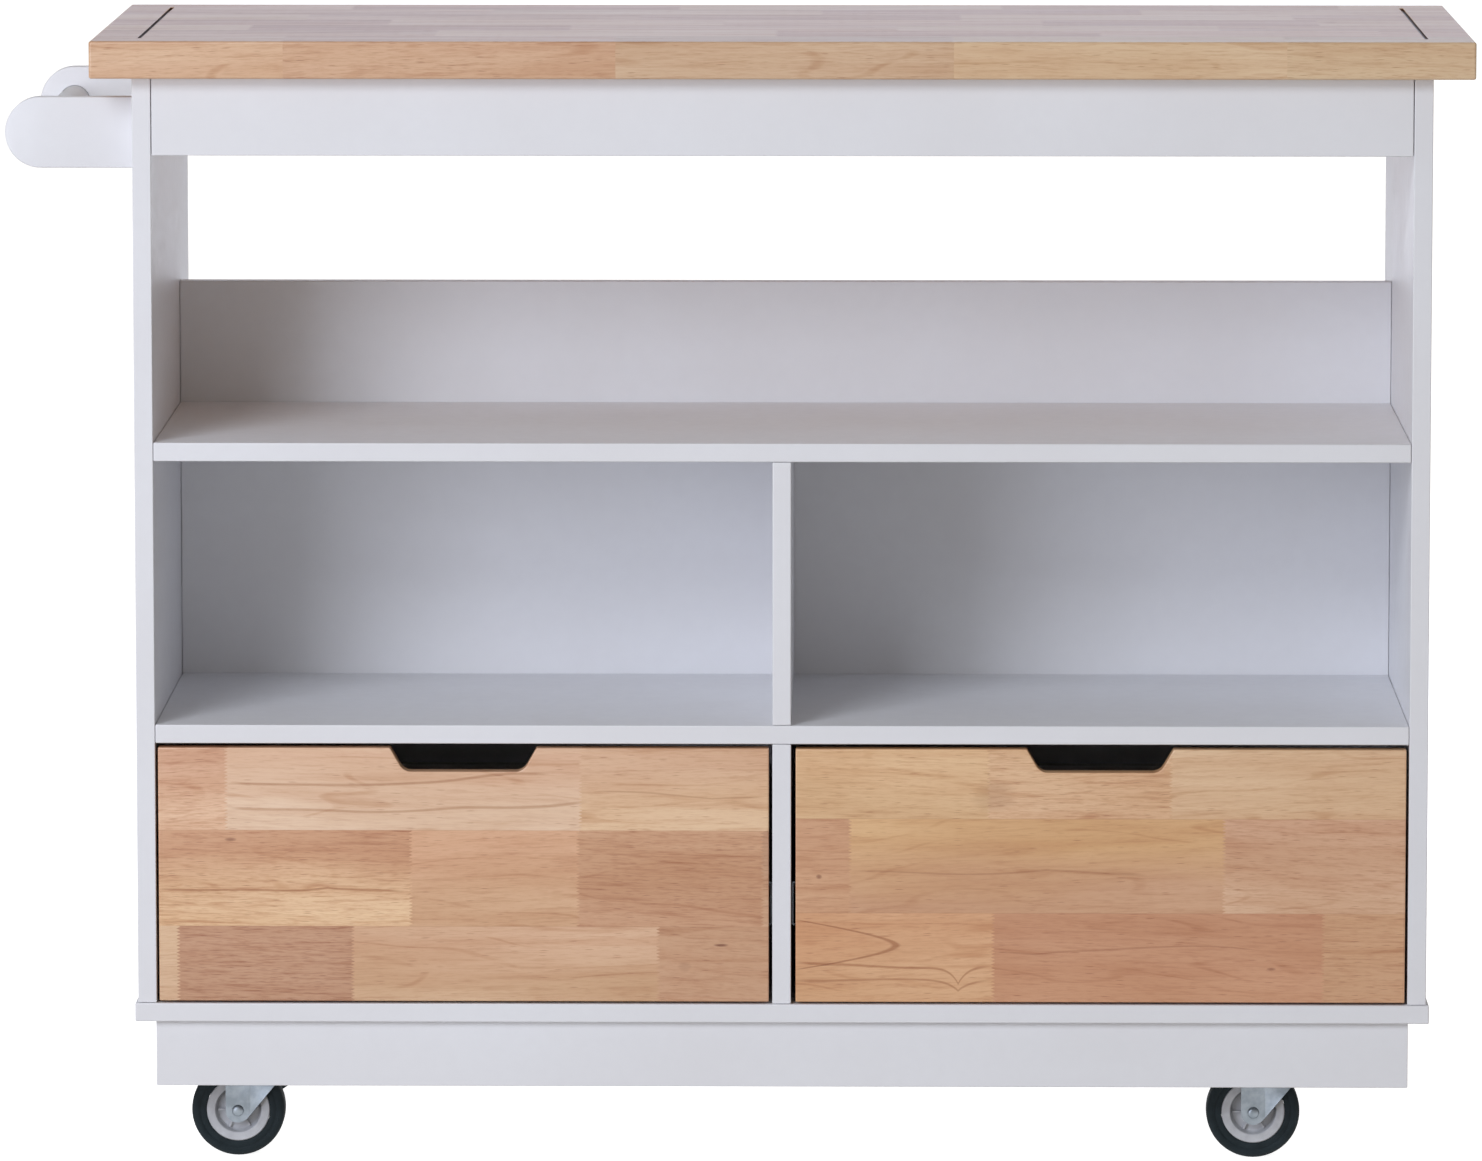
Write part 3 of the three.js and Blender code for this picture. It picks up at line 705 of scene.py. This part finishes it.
zinc_steel = make_zinc()
hub_plastic = make_moulded("hub_plastic", (190, 192, 197), (205, 207, 212), 120.0, 0.46, 0.10, 0.5)
tyre_rubber = make_moulded("tyre_rubber", (19, 30, 34), (28, 39, 44), 90.0, 0.72, 0.18, 0.24)
drawer_board = make_drawer_board()
print("finishes:", [m.name for m in bpy.data.materials if m.use_nodes][:12])

# %% [markdown]
# ## Worktop
#
# A single thick panel with a narrow groove routed near each end, stopping short of both
# long edges. A Boolean could cut the grooves, but four straight cuts across the panel and
# a pushed-down face give the same walls with cleaner faces. The outer edges get a small
# round, and the rims of the grooves a much finer one.

# %% Worktop
GROOVE_INSET = 37.5 * MM
GROOVE_WIDTH = 3.0 * MM
GROOVE_DEPTH = 2.5 * MM


def make_worktop():
    low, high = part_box("worktop")
    bm = bmesh.new()
    box_between(bm, low, high)
    ease(bm, 1.9 * MM, segments=5)
    lines_x = [low.x + GROOVE_INSET, high.x - GROOVE_INSET]
    lines_y = [low.y + GROOVE_INSET, high.y - GROOVE_INSET]
    for x in lines_x:
        slice_at(bm, (x - GROOVE_WIDTH / 2, 0, 0), (1, 0, 0))
        slice_at(bm, (x + GROOVE_WIDTH / 2, 0, 0), (1, 0, 0))
    for y in lines_y:
        slice_at(bm, (0, y, 0), (0, 1, 0))
    floors = []
    for face in bm.faces:
        middle = face.calc_center_median()
        in_line = min(abs(middle.x - x) for x in lines_x) < GROOVE_WIDTH / 2
        if face.normal.z > 0.99 and in_line and lines_y[0] < middle.y < lines_y[1]:
            floors.append(face)
    made = bmesh.ops.extrude_discrete_faces(bm, faces=floors)
    floor_verts = {v for f in made["faces"] for v in f.verts}
    bmesh.ops.translate(bm, vec=(0, 0, -GROOVE_DEPTH), verts=list(floor_verts))
    bmesh.ops.dissolve_limit(
        bm, angle_limit=math.radians(0.5), verts=bm.verts, edges=bm.edges,
        use_dissolve_boundaries=False,
    )
    rims = []
    for edge in bm.edges:
        if not edge.is_manifold or edge.calc_face_angle() < math.radians(60):
            continue
        if all(abs(v.co.z - high.z) < 1e-6 for v in edge.verts):
            rims.append(edge)
    ease(bm, 0.35 * MM, segments=2, edges=rims)
    return piece_from("worktop_panel", bm, "carcass", ["worktop"], top_wood), len(rims)


worktop_panel, groove_rims = make_worktop()
print("worktop faces", len(worktop_panel.data.polygons), "groove rims", groove_rims)

# %% [markdown]
# ## Carcass
#
# Side panels, shelves, dividers, aprons, back and plinth are 15 mm boards, painted all
# round. Shelf and divider edges are sanded a touch rounder than the rest because hands
# meet them. The two caster rails hide behind the plinth and carry the casters' plates.

# %% Carcass boards
edge_radius = {"upper_shelf": 1.0, "deck_shelf": 1.0, "shelf_divider": 0.9, "bottom_board": 1.0}
carcass_boards = [
    "side_panel_left", "side_panel_right", "front_apron", "rear_apron", "upper_shelf",
    "deck_shelf", "back_panel", "shelf_divider", "drawer_divider", "bottom_board",
    "plinth_front", "plinth_rear", "plinth_left", "plinth_right", "caster_rail_left",
    "caster_rail_right",
]
for name in carcass_boards:
    short = 0.35 if name == "front_apron" else 0.0
    board(name, "carcass", white_paint, edge_radius.get(name, 0.7), short)
print("carcass boards:", len(carcass_boards))

# %% [markdown]
# ## Towel rail
#
# Two brackets with round ends hold a bar as thick as a broom handle. A bracket is a flat
# face with its two outer corners rounded to half its height, so that they meet in a half
# circle. The inner side has a blind socket for the bar: the outline and the socket's rim
# are filled together, then the rim is pushed in.

# %% Brackets and bar
SOCKET_RADIUS = 12.9 * MM
SOCKET_DEPTH = 6.0 * MM
UPRIGHT = Matrix.Rotation(math.radians(90), 3, "X")


def ring_edges(bm, radius, segments, turn, place):
    """An open ring of edges, turned and moved into place."""
    made = bmesh.ops.create_circle(bm, cap_ends=False, radius=radius, segments=segments)
    if turn is not None:
        bmesh.ops.rotate(bm, cent=(0, 0, 0), matrix=turn, verts=made["verts"])
    bmesh.ops.translate(bm, vec=place, verts=made["verts"])
    return list({e for v in made["verts"] for e in v.link_edges})


def make_bracket(node_name, inner):
    low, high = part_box(node_name)
    radius = (high.z - low.z) / 2
    middle = (high.z + low.z) / 2
    outer_y = low.y if inner > 0 else high.y
    inner_y = high.y if inner > 0 else low.y
    bm = bmesh.new()
    corners = [
        (high.x, low.z, 0), (high.x, high.z, 0), (low.x, high.z, radius * 0.999),
        (low.x, low.z, radius * 0.999),
    ]
    rounded_face(bm, corners, lambda u, v: (u, outer_y, v), segments=20)
    bmesh.ops.remove_doubles(bm, verts=bm.verts, dist=5e-5)
    bm.faces.ensure_lookup_table()
    extrude_flat(bm, bm.faces[0], (0, inner_y - outer_y, 0))
    inner_faces = [f for f in bm.faces if abs(f.calc_center_median().y - inner_y) < 1e-6]
    rim = list(inner_faces[0].edges)
    bmesh.ops.delete(bm, geom=inner_faces, context="FACES_ONLY")
    ring = ring_edges(bm, SOCKET_RADIUS, 48, UPRIGHT, (low.x + radius, inner_y, middle))
    bmesh.ops.triangle_fill(bm, use_beauty=True, edges=rim + ring, normal=(0, inner, 0))
    push(bm, bmesh.ops.extrude_edge_only(bm, edges=ring), (0, -inner * SOCKET_DEPTH, 0))
    bmesh.ops.edgeloop_fill(bm, edges=[e for e in bm.edges if e.is_boundary])
    bmesh.ops.recalc_face_normals(bm, faces=bm.faces)
    clear = SOCKET_RADIUS + 0.6 * MM
    sharp = [
        e for e in bm.edges
        if e.is_manifold and e.calc_face_angle() > math.radians(60)
        and all((v.co - Vector((low.x + radius, v.co.y, middle))).length > clear for v in e.verts)
    ]
    ease(bm, 1.1 * MM, segments=3, edges=sharp)
    return piece_from(
        node_name + "_plate", bm, "carcass", [node_name], white_paint, 32,
    )


front_bracket = make_bracket("bracket_front", 1)
make_bracket("bracket_rear", -1)


def both_ends(half, middle=()):
    """A half profile of (radius, y) pairs, mirrored to the other end of its axis."""
    return [(r, -y) for r, y in half] + list(middle) + [(r, y) for r, y in reversed(half)]


def make_towel_bar():
    low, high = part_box("towel_bar")
    centre = (low + high) / 2
    radius = (high.x - low.x) / 2
    reach = high.y - centre.y
    rounding = 1.2 * MM
    half = [
        (0.0, reach), (radius - rounding, reach),
        (radius - rounding * 0.3, reach - rounding * 0.3), (radius, reach - rounding),
    ]
    points = [(centre.x + r, y, centre.z) for r, y in both_ends(half)]
    bm = bmesh.new()
    turned(bm, points, (0, 1, 0), centre, 64, closed=False)
    return piece_from("towel_bar_round", bm, "carcass", ["towel_bar"], white_paint, 40)


bar = make_towel_bar()
print("bracket faces", len(front_bracket.data.polygons), "bar faces", len(bar.data.polygons))

# %% [markdown]
# ## Drawer fronts
#
# Each front is a glued-up board with a finger cut-out in its upper edge: a shallow
# trapezium with soft lower corners and slightly eased lips. The whole outline is drawn as
# one face, its corners are rounded, and the face is pushed back to the board's thickness.
# All edges are then eased, also inside the cut-out, where fingers go.

# %% Drawer fronts
CUTOUT_DEPTH = 19.5 * MM
CUTOUT_MOUTH = 59.0 * MM
CUTOUT_FLOOR = 48.0 * MM


def make_drawer_front(node_name, body, finish, shy_left, shy_top):
    """A front with its cut-out; shy cuts it back by a few tenths of a millimetre."""
    low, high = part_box(node_name)
    middle = (low.x + high.x) / 2
    floor = high.z - CUTOUT_DEPTH
    low.x += shy_left * MM
    high.z -= shy_top * MM
    corners = [
        (low.x, low.z, 0), (high.x, low.z, 0), (high.x, high.z, 0),
        (middle + CUTOUT_MOUTH, high.z, 2.0 * MM), (middle + CUTOUT_FLOOR, floor, 10.0 * MM),
        (middle - CUTOUT_FLOOR, floor, 10.0 * MM), (middle - CUTOUT_MOUTH, high.z, 2.0 * MM),
        (low.x, high.z, 0),
    ]
    bm = bmesh.new()
    face = rounded_face(bm, corners, lambda u, v: (u, low.y, v), segments=8)
    extrude_flat(bm, face, (0, high.y - low.y, 0))
    ease(bm, 0.9 * MM, segments=3)
    return piece_from(node_name + "_panel", bm, body, [node_name], finish)


left_front = make_drawer_front("drawer_left_front", "drawer_left", left_wood, 0.0, 0.3)
right_front = make_drawer_front("drawer_right_front", "drawer_right", right_wood, 0.9, 0.7)
print("drawer front faces", len(left_front.data.polygons), len(right_front.data.polygons))

# %% [markdown]
# ## Drawer boxes
#
# Behind each front is a box of thinner foiled boards. They are seen only with the drawer
# open, from above, so their upper edges are eased like the carcass's.

# %% Drawer boxes
for hand in ("left", "right"):
    for wall in ("side_left", "side_right", "back", "bottom"):
        name = f"drawer_{hand}_{wall}"
        board(name, f"drawer_{hand}", drawer_board, 0.5)
print("drawer boxes: 8 boards")

# %% [markdown]
# ## Drawer runners
#
# A ball-bearing runner is two channels of thin steel, one inside the other, with a cage of
# balls between their lips. Each channel is bent from strip: an outline with two rounded
# corners loses its open side, is drawn out along Y, and solidify gives it the sheet's
# thickness. The members are set back a finger's width from the front edge, as fitters do to
# keep the bright steel out of sight. The ball cage stays at the mouth of the cabinet member,
# where the two members still overlap when the drawer is fully open.

# %% Runner members
RUNNER_BACK = 25.0 * MM
RUNNER_SHEET = 1.5 * MM


def screw_head(bm, seat, side):
    """A low domed screw head on a face that looks along X."""
    x, y, z = seat
    dome = [(1.8, 0.0), (1.7, 1.4), (1.2, 3.0), (0.5, 3.8), (0.0, 3.9), (0.0, 0.0)]
    points = [(x + side * rise * MM, y, z + radius * MM) for rise, radius in dome]
    turned(bm, points, (1, 0, 0), seat, 16, closed=False)


def make_channel(node_name, body, opening):
    low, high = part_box(node_name)
    low.y += RUNNER_BACK
    web = low.x if opening > 0 else high.x
    lip = high.x if opening > 0 else low.x
    bend = 2.2 * MM
    corners = [(web, low.z, bend), (web, high.z, bend), (lip, high.z, 0), (lip, low.z, 0)]
    bm = bmesh.new()
    face = rounded_face(bm, corners, lambda u, v: (u, low.y, v), segments=4)
    mouth = [e for e in face.edges if all(abs(v.co.x - lip) < 1e-7 for v in e.verts)]
    bmesh.ops.delete(bm, geom=[face], context="FACES_ONLY")
    bmesh.ops.delete(bm, geom=mouth, context="EDGES")
    length = high.y - low.y
    push(bm, bmesh.ops.extrude_edge_only(bm, edges=bm.edges[:]), (0, length, 0))
    bmesh.ops.recalc_face_normals(bm, faces=bm.faces)
    web_face = max(bm.faces, key=lambda f: f.calc_area())
    if web_face.normal.x * opening > 0:
        bmesh.ops.reverse_faces(bm, faces=bm.faces)
    bmesh.ops.solidify(bm, geom=bm.faces[:], thickness=RUNNER_SHEET)
    bmesh.ops.recalc_face_normals(bm, faces=bm.faces)
    for part in (0.12, 0.50, 0.88):
        seat = (web + opening * RUNNER_SHEET, low.y + length * part, (low.z + high.z) / 2)
        screw_head(bm, seat, opening)
    piece_from(node_name + "_member", bm, body, [node_name], zinc_steel, 35)


# %% [markdown]
# The cage is a thin strip with a row of balls sitting in it, one row above and one below.
# The balls are small icospheres of eighty faces each, which is plenty for something the
# size of a peppercorn.

# %% Ball cages
BALL_RADIUS = 1.55 * MM
BALL_PITCH = 11.0 * MM
BALLS = 7


def make_cage(hand, wall):
    outer_low, outer_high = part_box(f"runner_{hand}_{wall}_cabinet")
    inner_low, inner_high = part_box(f"runner_{hand}_{wall}_drawer")
    middle_x = (max(outer_low.x, inner_low.x) + min(outer_high.x, inner_high.x)) / 2
    first = outer_low.y + 30.0 * MM
    last = first + (BALLS - 1) * BALL_PITCH
    margin = Vector((2.4, 3.0, 0.4)) * MM
    bm = bmesh.new()
    for row_z in (
        (inner_high.z + outer_high.z - RUNNER_SHEET) / 2,
        (inner_low.z + outer_low.z + RUNNER_SHEET) / 2,
    ):
        for k in range(BALLS):
            ball = bmesh.ops.create_icosphere(bm, subdivisions=2, radius=BALL_RADIUS)
            place = (middle_x, first + k * BALL_PITCH, row_z)
            bmesh.ops.translate(bm, vec=place, verts=ball["verts"])
        start = Vector((middle_x, first, row_z))
        end = Vector((middle_x, last, row_z))
        box_between(bm, start - margin, end + margin)
    piece_from(f"ball_cage_{hand}_{wall}", bm, "carcass", [], zinc_steel, 35)


for hand in ("left", "right"):
    for wall, opening in (("left", 1), ("right", -1)):
        make_channel(f"runner_{hand}_{wall}_cabinet", "carcass", opening)
        make_channel(f"runner_{hand}_{wall}_drawer", f"drawer_{hand}", -opening)
        make_cage(hand, wall)
print("runners: 8 members, 4 cages")

# %% [markdown]
# ## Casters
#
# All four casters are the same, so each part is written once as a function of the point on
# the floor under its kingpin. Sizes are in millimetres about that point and are scaled to
# metres at the end, which keeps the numbers readable.
#
# The tyre and the hub are turned: a profile is spun about the axle. The tyre has rounded
# shoulders and a thin moulded ring on each side. The hub has a deep recess with ribs, made
# by pushing out every tenth of the recess's faces.

# %% Wheel
TRAIL = 30.0
WHEEL_RADIUS = 38.0
AXLE = Vector((-TRAIL, 0.0, WHEEL_RADIUS))


def caster_part(bm, kingpin, solid, ending, body, finish, sharp_angle):
    """Brings a part from millimetres to its place under its kingpin and finishes it."""
    bmesh.ops.scale(bm, vec=(MM, MM, MM), verts=bm.verts)
    bmesh.ops.translate(bm, vec=(kingpin.x, kingpin.y, 0), verts=bm.verts)
    piece_from(f"{solid}_{ending}", bm, body, [solid], finish, sharp_angle)


def turned_at_axle(bm, pairs, steps, closed=True):
    """Turns (radius, y) pairs about the axle."""
    points = [(AXLE.x + radius, y, AXLE.z) for radius, y in pairs]
    turned(bm, points, (0, 1, 0), AXLE, steps, closed)


def make_tyre(corner, kingpin):
    half = [
        (25.9, 11.3), (26.4, 11.5), (30.0, 11.75), (30.4, 11.4), (31.0, 11.4), (31.4, 11.85),
        (33.6, 12.0), (35.0, 11.8), (36.4, 11.1), (37.4, 9.9), (37.85, 8.2), (WHEEL_RADIUS, 5.0),
    ]
    bm = bmesh.new()
    turned_at_axle(bm, both_ends(half, [(WHEEL_RADIUS, 0.0)]), 72)
    wheel = f"wheel_{corner}"
    caster_part(bm, kingpin, f"tyre_{corner}", "rubber", wheel, tyre_rubber, 50)


def make_hub(corner, kingpin):
    half = [
        (3.4, 13.0), (7.4, 13.0), (8.0, 12.4), (8.2, 4.6), (9.0, 3.8), (16.6, 3.8),
        (17.6, 4.8), (18.6, 10.9), (19.2, 11.5), (24.9, 11.5), (25.6, 10.9),
    ]
    steps = 60
    bm = bmesh.new()
    turned_at_axle(bm, both_ends(half), steps)
    ribs = {1: [], -1: []}
    for face in bm.faces:
        offset = face.calc_center_median() - AXLE
        radius = math.hypot(offset.x, offset.z)
        if abs(face.normal.y) < 0.99 or not 10.0 < radius < 16.0:
            continue
        sector = int(math.degrees(math.atan2(offset.z, offset.x)) % 360 // (360 // steps))
        if sector % 10 == 0:
            ribs[1 if offset.y > 0 else -1].append(face)
    for way, faces in ribs.items():
        push(bm, bmesh.ops.extrude_face_region(bm, geom=faces), (0, way * 3.0, 0))
    bmesh.ops.delete(bm, geom=ribs[1] + ribs[-1], context="FACES_ONLY")
    bmesh.ops.recalc_face_normals(bm, faces=bm.faces)
    wheel = f"wheel_{corner}"
    caster_part(bm, kingpin, f"hub_{corner}", "moulding", wheel, hub_plastic, 35)


# %% [markdown]
# The axle is a rivet with a domed head at each end. The fork is pressed from one sheet: two
# legs with a round eye, a stepped crease down each leg where the sheet starts to flare
# towards the race, and a crown across the top. One leg is filled between its outline and
# its axle hole, its upper edge is spun through a quarter turn to make the bend, the other
# leg is a mirror of it, and the crown is filled round the hole for the kingpin. Solidify
# comes last, so the thickness follows every bend.

# %% Axle
def make_axle(corner, kingpin):
    half = [
        (0.0, 18.6), (1.2, 18.6), (2.6, 18.4), (3.9, 17.9), (4.6, 17.1), (4.7, 16.4), (3.0, 16.3),
    ]
    bm = bmesh.new()
    turned_at_axle(bm, both_ends(half), 32, closed=False)
    caster = f"caster_{corner}"
    caster_part(bm, kingpin, f"axle_{corner}", "rivet", caster, zinc_steel, 40)


# %% Fork
FORK_LEAN = math.radians(39)
FORK_SHEET = 2.5
EYE_RADIUS = 10.0
LEG_FACE = 16.1
BEND_RADIUS = 4.0
CROWN = 84.5
CREASE = AXLE.x + 10.6
CREASE_WIDTH = 1.2
CREASE_STEP = 0.8
FLARE = 0.11
FLARE_TOP = 60.0


def leg_outline(top):
    """A leg's corners in X and Z, with a round eye at its foot."""
    tip_x = AXLE.x + EYE_RADIUS * math.cos(FORK_LEAN)
    tip_z = AXLE.z - EYE_RADIUS * math.sin(FORK_LEAN)
    base = AXLE.z - EYE_RADIUS
    foot = tip_x - (tip_z - base) * math.tan(FORK_LEAN)
    nose = tip_x + (top - tip_z) * math.tan(FORK_LEAN)
    return [
        (AXLE.x - EYE_RADIUS, top, 0), (AXLE.x - EYE_RADIUS, base, EYE_RADIUS * 0.995),
        (foot, base, EYE_RADIUS * 0.98), (nose, top, 0),
    ]


def turned_upright(bm, pairs, steps, closed=True):
    """Turns (radius, height) pairs about the kingpin."""
    turned(bm, [(r, 0, z) for r, z in pairs], (0, 0, 1), (0, 0, 0), steps, closed)


def make_fork(corner, kingpin):
    top = CROWN - BEND_RADIUS
    bm = bmesh.new()
    face = rounded_face(bm, leg_outline(top), lambda u, v: (u, -LEG_FACE, v), segments=8)
    bmesh.ops.delete(bm, geom=[face], context="FACES_ONLY")
    loop = bm.edges[:]
    hole = ring_edges(bm, 3.4, 24, UPRIGHT, (AXLE.x, -LEG_FACE, AXLE.z))
    bmesh.ops.triangle_fill(bm, use_beauty=True, edges=loop + hole, normal=(0, -1, 0))
    slice_at(bm, (CREASE - CREASE_WIDTH, 0, 0), (1, 0, 0), 1e-4)
    slice_at(bm, (CREASE, 0, 0), (1, 0, 0), 1e-4)
    slice_at(bm, (0, 0, FLARE_TOP), (0, 0, 1), 1e-4)
    for vert in bm.verts:
        past = vert.co.x - CREASE
        flare = max(0.0, past) * FLARE
        step = min(1.0, max(0.0, past / CREASE_WIDTH + 1.0)) * CREASE_STEP
        fade = min(1.0, max(0.0, (top - vert.co.z) / (top - FLARE_TOP)))
        vert.co.y -= (flare + step) * fade
    upper = [e for e in bm.edges if all(abs(v.co.z - top) < 1e-3 for v in e.verts)]
    ends = list({v for e in upper for v in e.verts})
    bmesh.ops.spin(
        bm, geom=upper + ends, cent=(0, BEND_RADIUS - LEG_FACE, top), axis=(-1, 0, 0),
        dvec=(0, 0, 0), angle=math.radians(90), steps=5, use_merge=False, use_duplicate=False,
    )
    bmesh.ops.mirror(bm, geom=bm.verts[:] + bm.edges[:] + bm.faces[:], axis="Y", merge_dist=1e-4)
    rims = [e for e in bm.edges if all(abs(v.co.z - CROWN) < 1e-3 for v in e.verts)]
    places = [v.co.x for e in rims for v in e.verts]
    sides = []
    for x in (min(places), max(places)):
        pair = [v for v in bm.verts if abs(v.co.x - x) < 1e-3 and abs(v.co.z - CROWN) < 1e-3]
        sides.append(bm.edges.new(pair))
    pin_hole = ring_edges(bm, 5.5, 24, None, (0, 0, CROWN))
    bmesh.ops.triangle_fill(bm, use_beauty=True, edges=rims + sides + pin_hole, normal=(0, 0, 1))
    bmesh.ops.recalc_face_normals(bm, faces=bm.faces)
    top_face = max((f for f in bm.faces if abs(f.normal.z) > 0.9), key=lambda f: f.calc_area())
    if top_face.normal.z < 0:
        bmesh.ops.reverse_faces(bm, faces=bm.faces)
    bmesh.ops.solidify(bm, geom=bm.faces[:], thickness=FORK_SHEET)
    race = [
        (5.5, CROWN), (5.5, 90.0), (17.6, 90.0), (19.2, 89.6), (20.0, 88.6), (20.0, 86.0),
        (19.4, 85.0), (18.4, CROWN),
    ]
    turned_upright(bm, race, 48)
    fork = f"caster_fork_{corner}"
    caster_part(bm, kingpin, fork, "pressing", f"caster_{corner}", zinc_steel, 32)


# %% [markdown]
# The caster's plate stays still while everything below it turns. It is a square of sheet
# with rounded corners, held up by four hexagon bolts with washers, and it carries the upper
# race and the kingpin, whose domed head shows under the crown of the fork.

# %% Plate, race, kingpin and bolts
PLATE_UNDER = 97.0
PLATE_THICK = 3.0
PLATE_HALF = 31
BOLT_OUT = 25.0


def block(bm, place, lower, upper, depth, segments):
    """A short round or hexagon block with its middle at a place."""
    made = bmesh.ops.create_cone(
        bm, cap_ends=True, radius1=lower, radius2=upper, depth=depth, segments=segments,
    )
    bmesh.ops.translate(bm, vec=place, verts=made["verts"])


def make_plate(corner, kingpin):
    bm = bmesh.new()
    corners = [(u * PLATE_HALF, v * PLATE_HALF, 6) for u, v in ((-1, -1), (1, -1), (1, 1), (-1, 1))]
    face = rounded_face(bm, corners, lambda u, v: (u, v, PLATE_UNDER), segments=6)
    extrude_flat(bm, face, (0, 0, PLATE_THICK))
    ease(bm, 0.4, segments=2, least=60.0)
    race = [
        (0.0, 90.9), (17.5, 90.9), (18.3, 90.5), (21.4, 90.5), (22.6, 90.9), (23.0, 91.9),
        (23.0, PLATE_UNDER - 1.0), (23.6, PLATE_UNDER), (0.0, PLATE_UNDER),
    ]
    turned_upright(bm, race, 48, closed=False)
    pin = [
        (0.0, 79.6), (3.5, 79.7), (6.2, 80.2), (7.7, 80.9), (8.0, 81.5), (5.0, 81.5),
        (5.0, 91.5), (0.0, 91.5),
    ]
    turned_upright(bm, pin, 32, closed=False)
    for x in (-BOLT_OUT, BOLT_OUT):
        for y in (-BOLT_OUT, BOLT_OUT):
            block(bm, (x, y, PLATE_UNDER - 0.45), 5.6, 5.6, 0.9, 24)
            block(bm, (x, y, PLATE_UNDER - 2.5), 4.4, 4.6, 3.2, 6)
    plate = f"caster_plate_{corner}"
    caster_part(bm, kingpin, plate, "set", "carcass", zinc_steel, 32)


for corner in ("front_left", "front_right", "rear_left", "rear_right"):
    low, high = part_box(f"caster_plate_{corner}")
    for make_part in (make_tyre, make_hub, make_axle, make_fork, make_plate):
        make_part(corner, (low + high) / 2)
print("casters: 4, each of 5 pieces")

# %% [markdown]
# ## Floor and light
#
# The floor is a plain pale sheet. One large soft box stands to the left and in front,
# higher than the worktop: it leaves soft shadows to the right of the left panel and of the
# divider. A small low one on the same side reaches under the shelves, two weak ones behind
# lift the back, and the room itself gives an even, weaker light that fills the shelves.

# %% Floor and light
def make_floor():
    bm = bmesh.new()
    bmesh.ops.create_grid(bm, x_segments=1, y_segments=1, size=30.0)
    mesh = bpy.data.meshes.new("floor")
    bm.to_mesh(mesh)
    bm.free()
    floor = bpy.data.objects.new("floor", mesh)
    bpy.context.scene.collection.objects.link(floor)
    finish, tree, shader, coords = new_finish("floor_pale")
    cloudy = noise(tree, coords, 3.0, 2.0)
    base = tinted(tree, "MIX", cloudy, rgb(246, 246, 246), rgb(250, 250, 250))
    feed(tree, shader.inputs["Base Color"], base)
    for socket, value in (
        ("Roughness", 0.9), ("Specular IOR Level", 0.1), ("Emission Strength", 0.9),
        ("Emission Color", (1.0, 1.0, 1.0, 1.0)),
    ):
        shader.inputs[socket].default_value = value
    mesh.materials.append(finish)
    floor.visible_diffuse = False


def soft_box(name, place, target, size, power, tint, shown=True):
    """A square area light aimed at a point; the camera may be kept from seeing it."""
    light = bpy.data.lights.new(name, "AREA")
    light.shape = "SQUARE"
    light.size = size
    light.energy = power
    light.color = tint
    lamp = bpy.data.objects.new(name, light)
    lamp.location = place
    aim = Vector(target) - Vector(place)
    lamp.rotation_euler = aim.to_track_quat("-Z", "Y").to_euler()
    lamp.visible_camera = shown
    bpy.context.scene.collection.objects.link(lamp)


def make_room(strength, tint, seen):
    """An even pale room: plain white where it is seen, weaker as a light."""
    world = bpy.data.worlds.new("room")
    world.use_nodes = True
    tree = world.node_tree
    tree.nodes.clear()
    path = tree.nodes.new("ShaderNodeLightPath")
    glow = node(tree, "ShaderNodeBackground", {"Color": tint, "Strength": strength})
    plain = node(tree, "ShaderNodeBackground", {"Color": (1.0, 1.0, 1.0, 1.0), "Strength": seen})
    mix = node(tree, "ShaderNodeMixShader", {
        0: path.outputs["Is Camera Ray"], 1: glow.outputs[0], 2: plain.outputs[0],
    })
    out = tree.nodes.new("ShaderNodeOutputWorld")
    tree.links.new(mix.outputs[0], out.inputs["Surface"])
    bpy.context.scene.world = world


make_floor()
middle = (0.05, 0.0, 0.5)
soft_box("key", (-3.73, -7.93, 5.47), middle, 3.6, 404.0, (0.875, 0.923, 1.0))
soft_box("low_fill", (-2.2, -3.4, 0.9), middle, 1.5, 49.0, (0.838, 0.872, 1.0))
soft_box("back_light", (0.05, 3.0, 1.1), (0.05, 0.0, 0.75), 2.5, 15.0, (0.6, 0.72, 1.0), False)
soft_box("high_back", (0.4, 3.0, 3.2), middle, 2.2, 11.0, (0.96, 0.97, 1.0), False)
make_room(0.28, (1.0, 0.93, 0.846, 1.0), 1.05)
bpy.context.scene.view_settings.view_transform = "Standard"
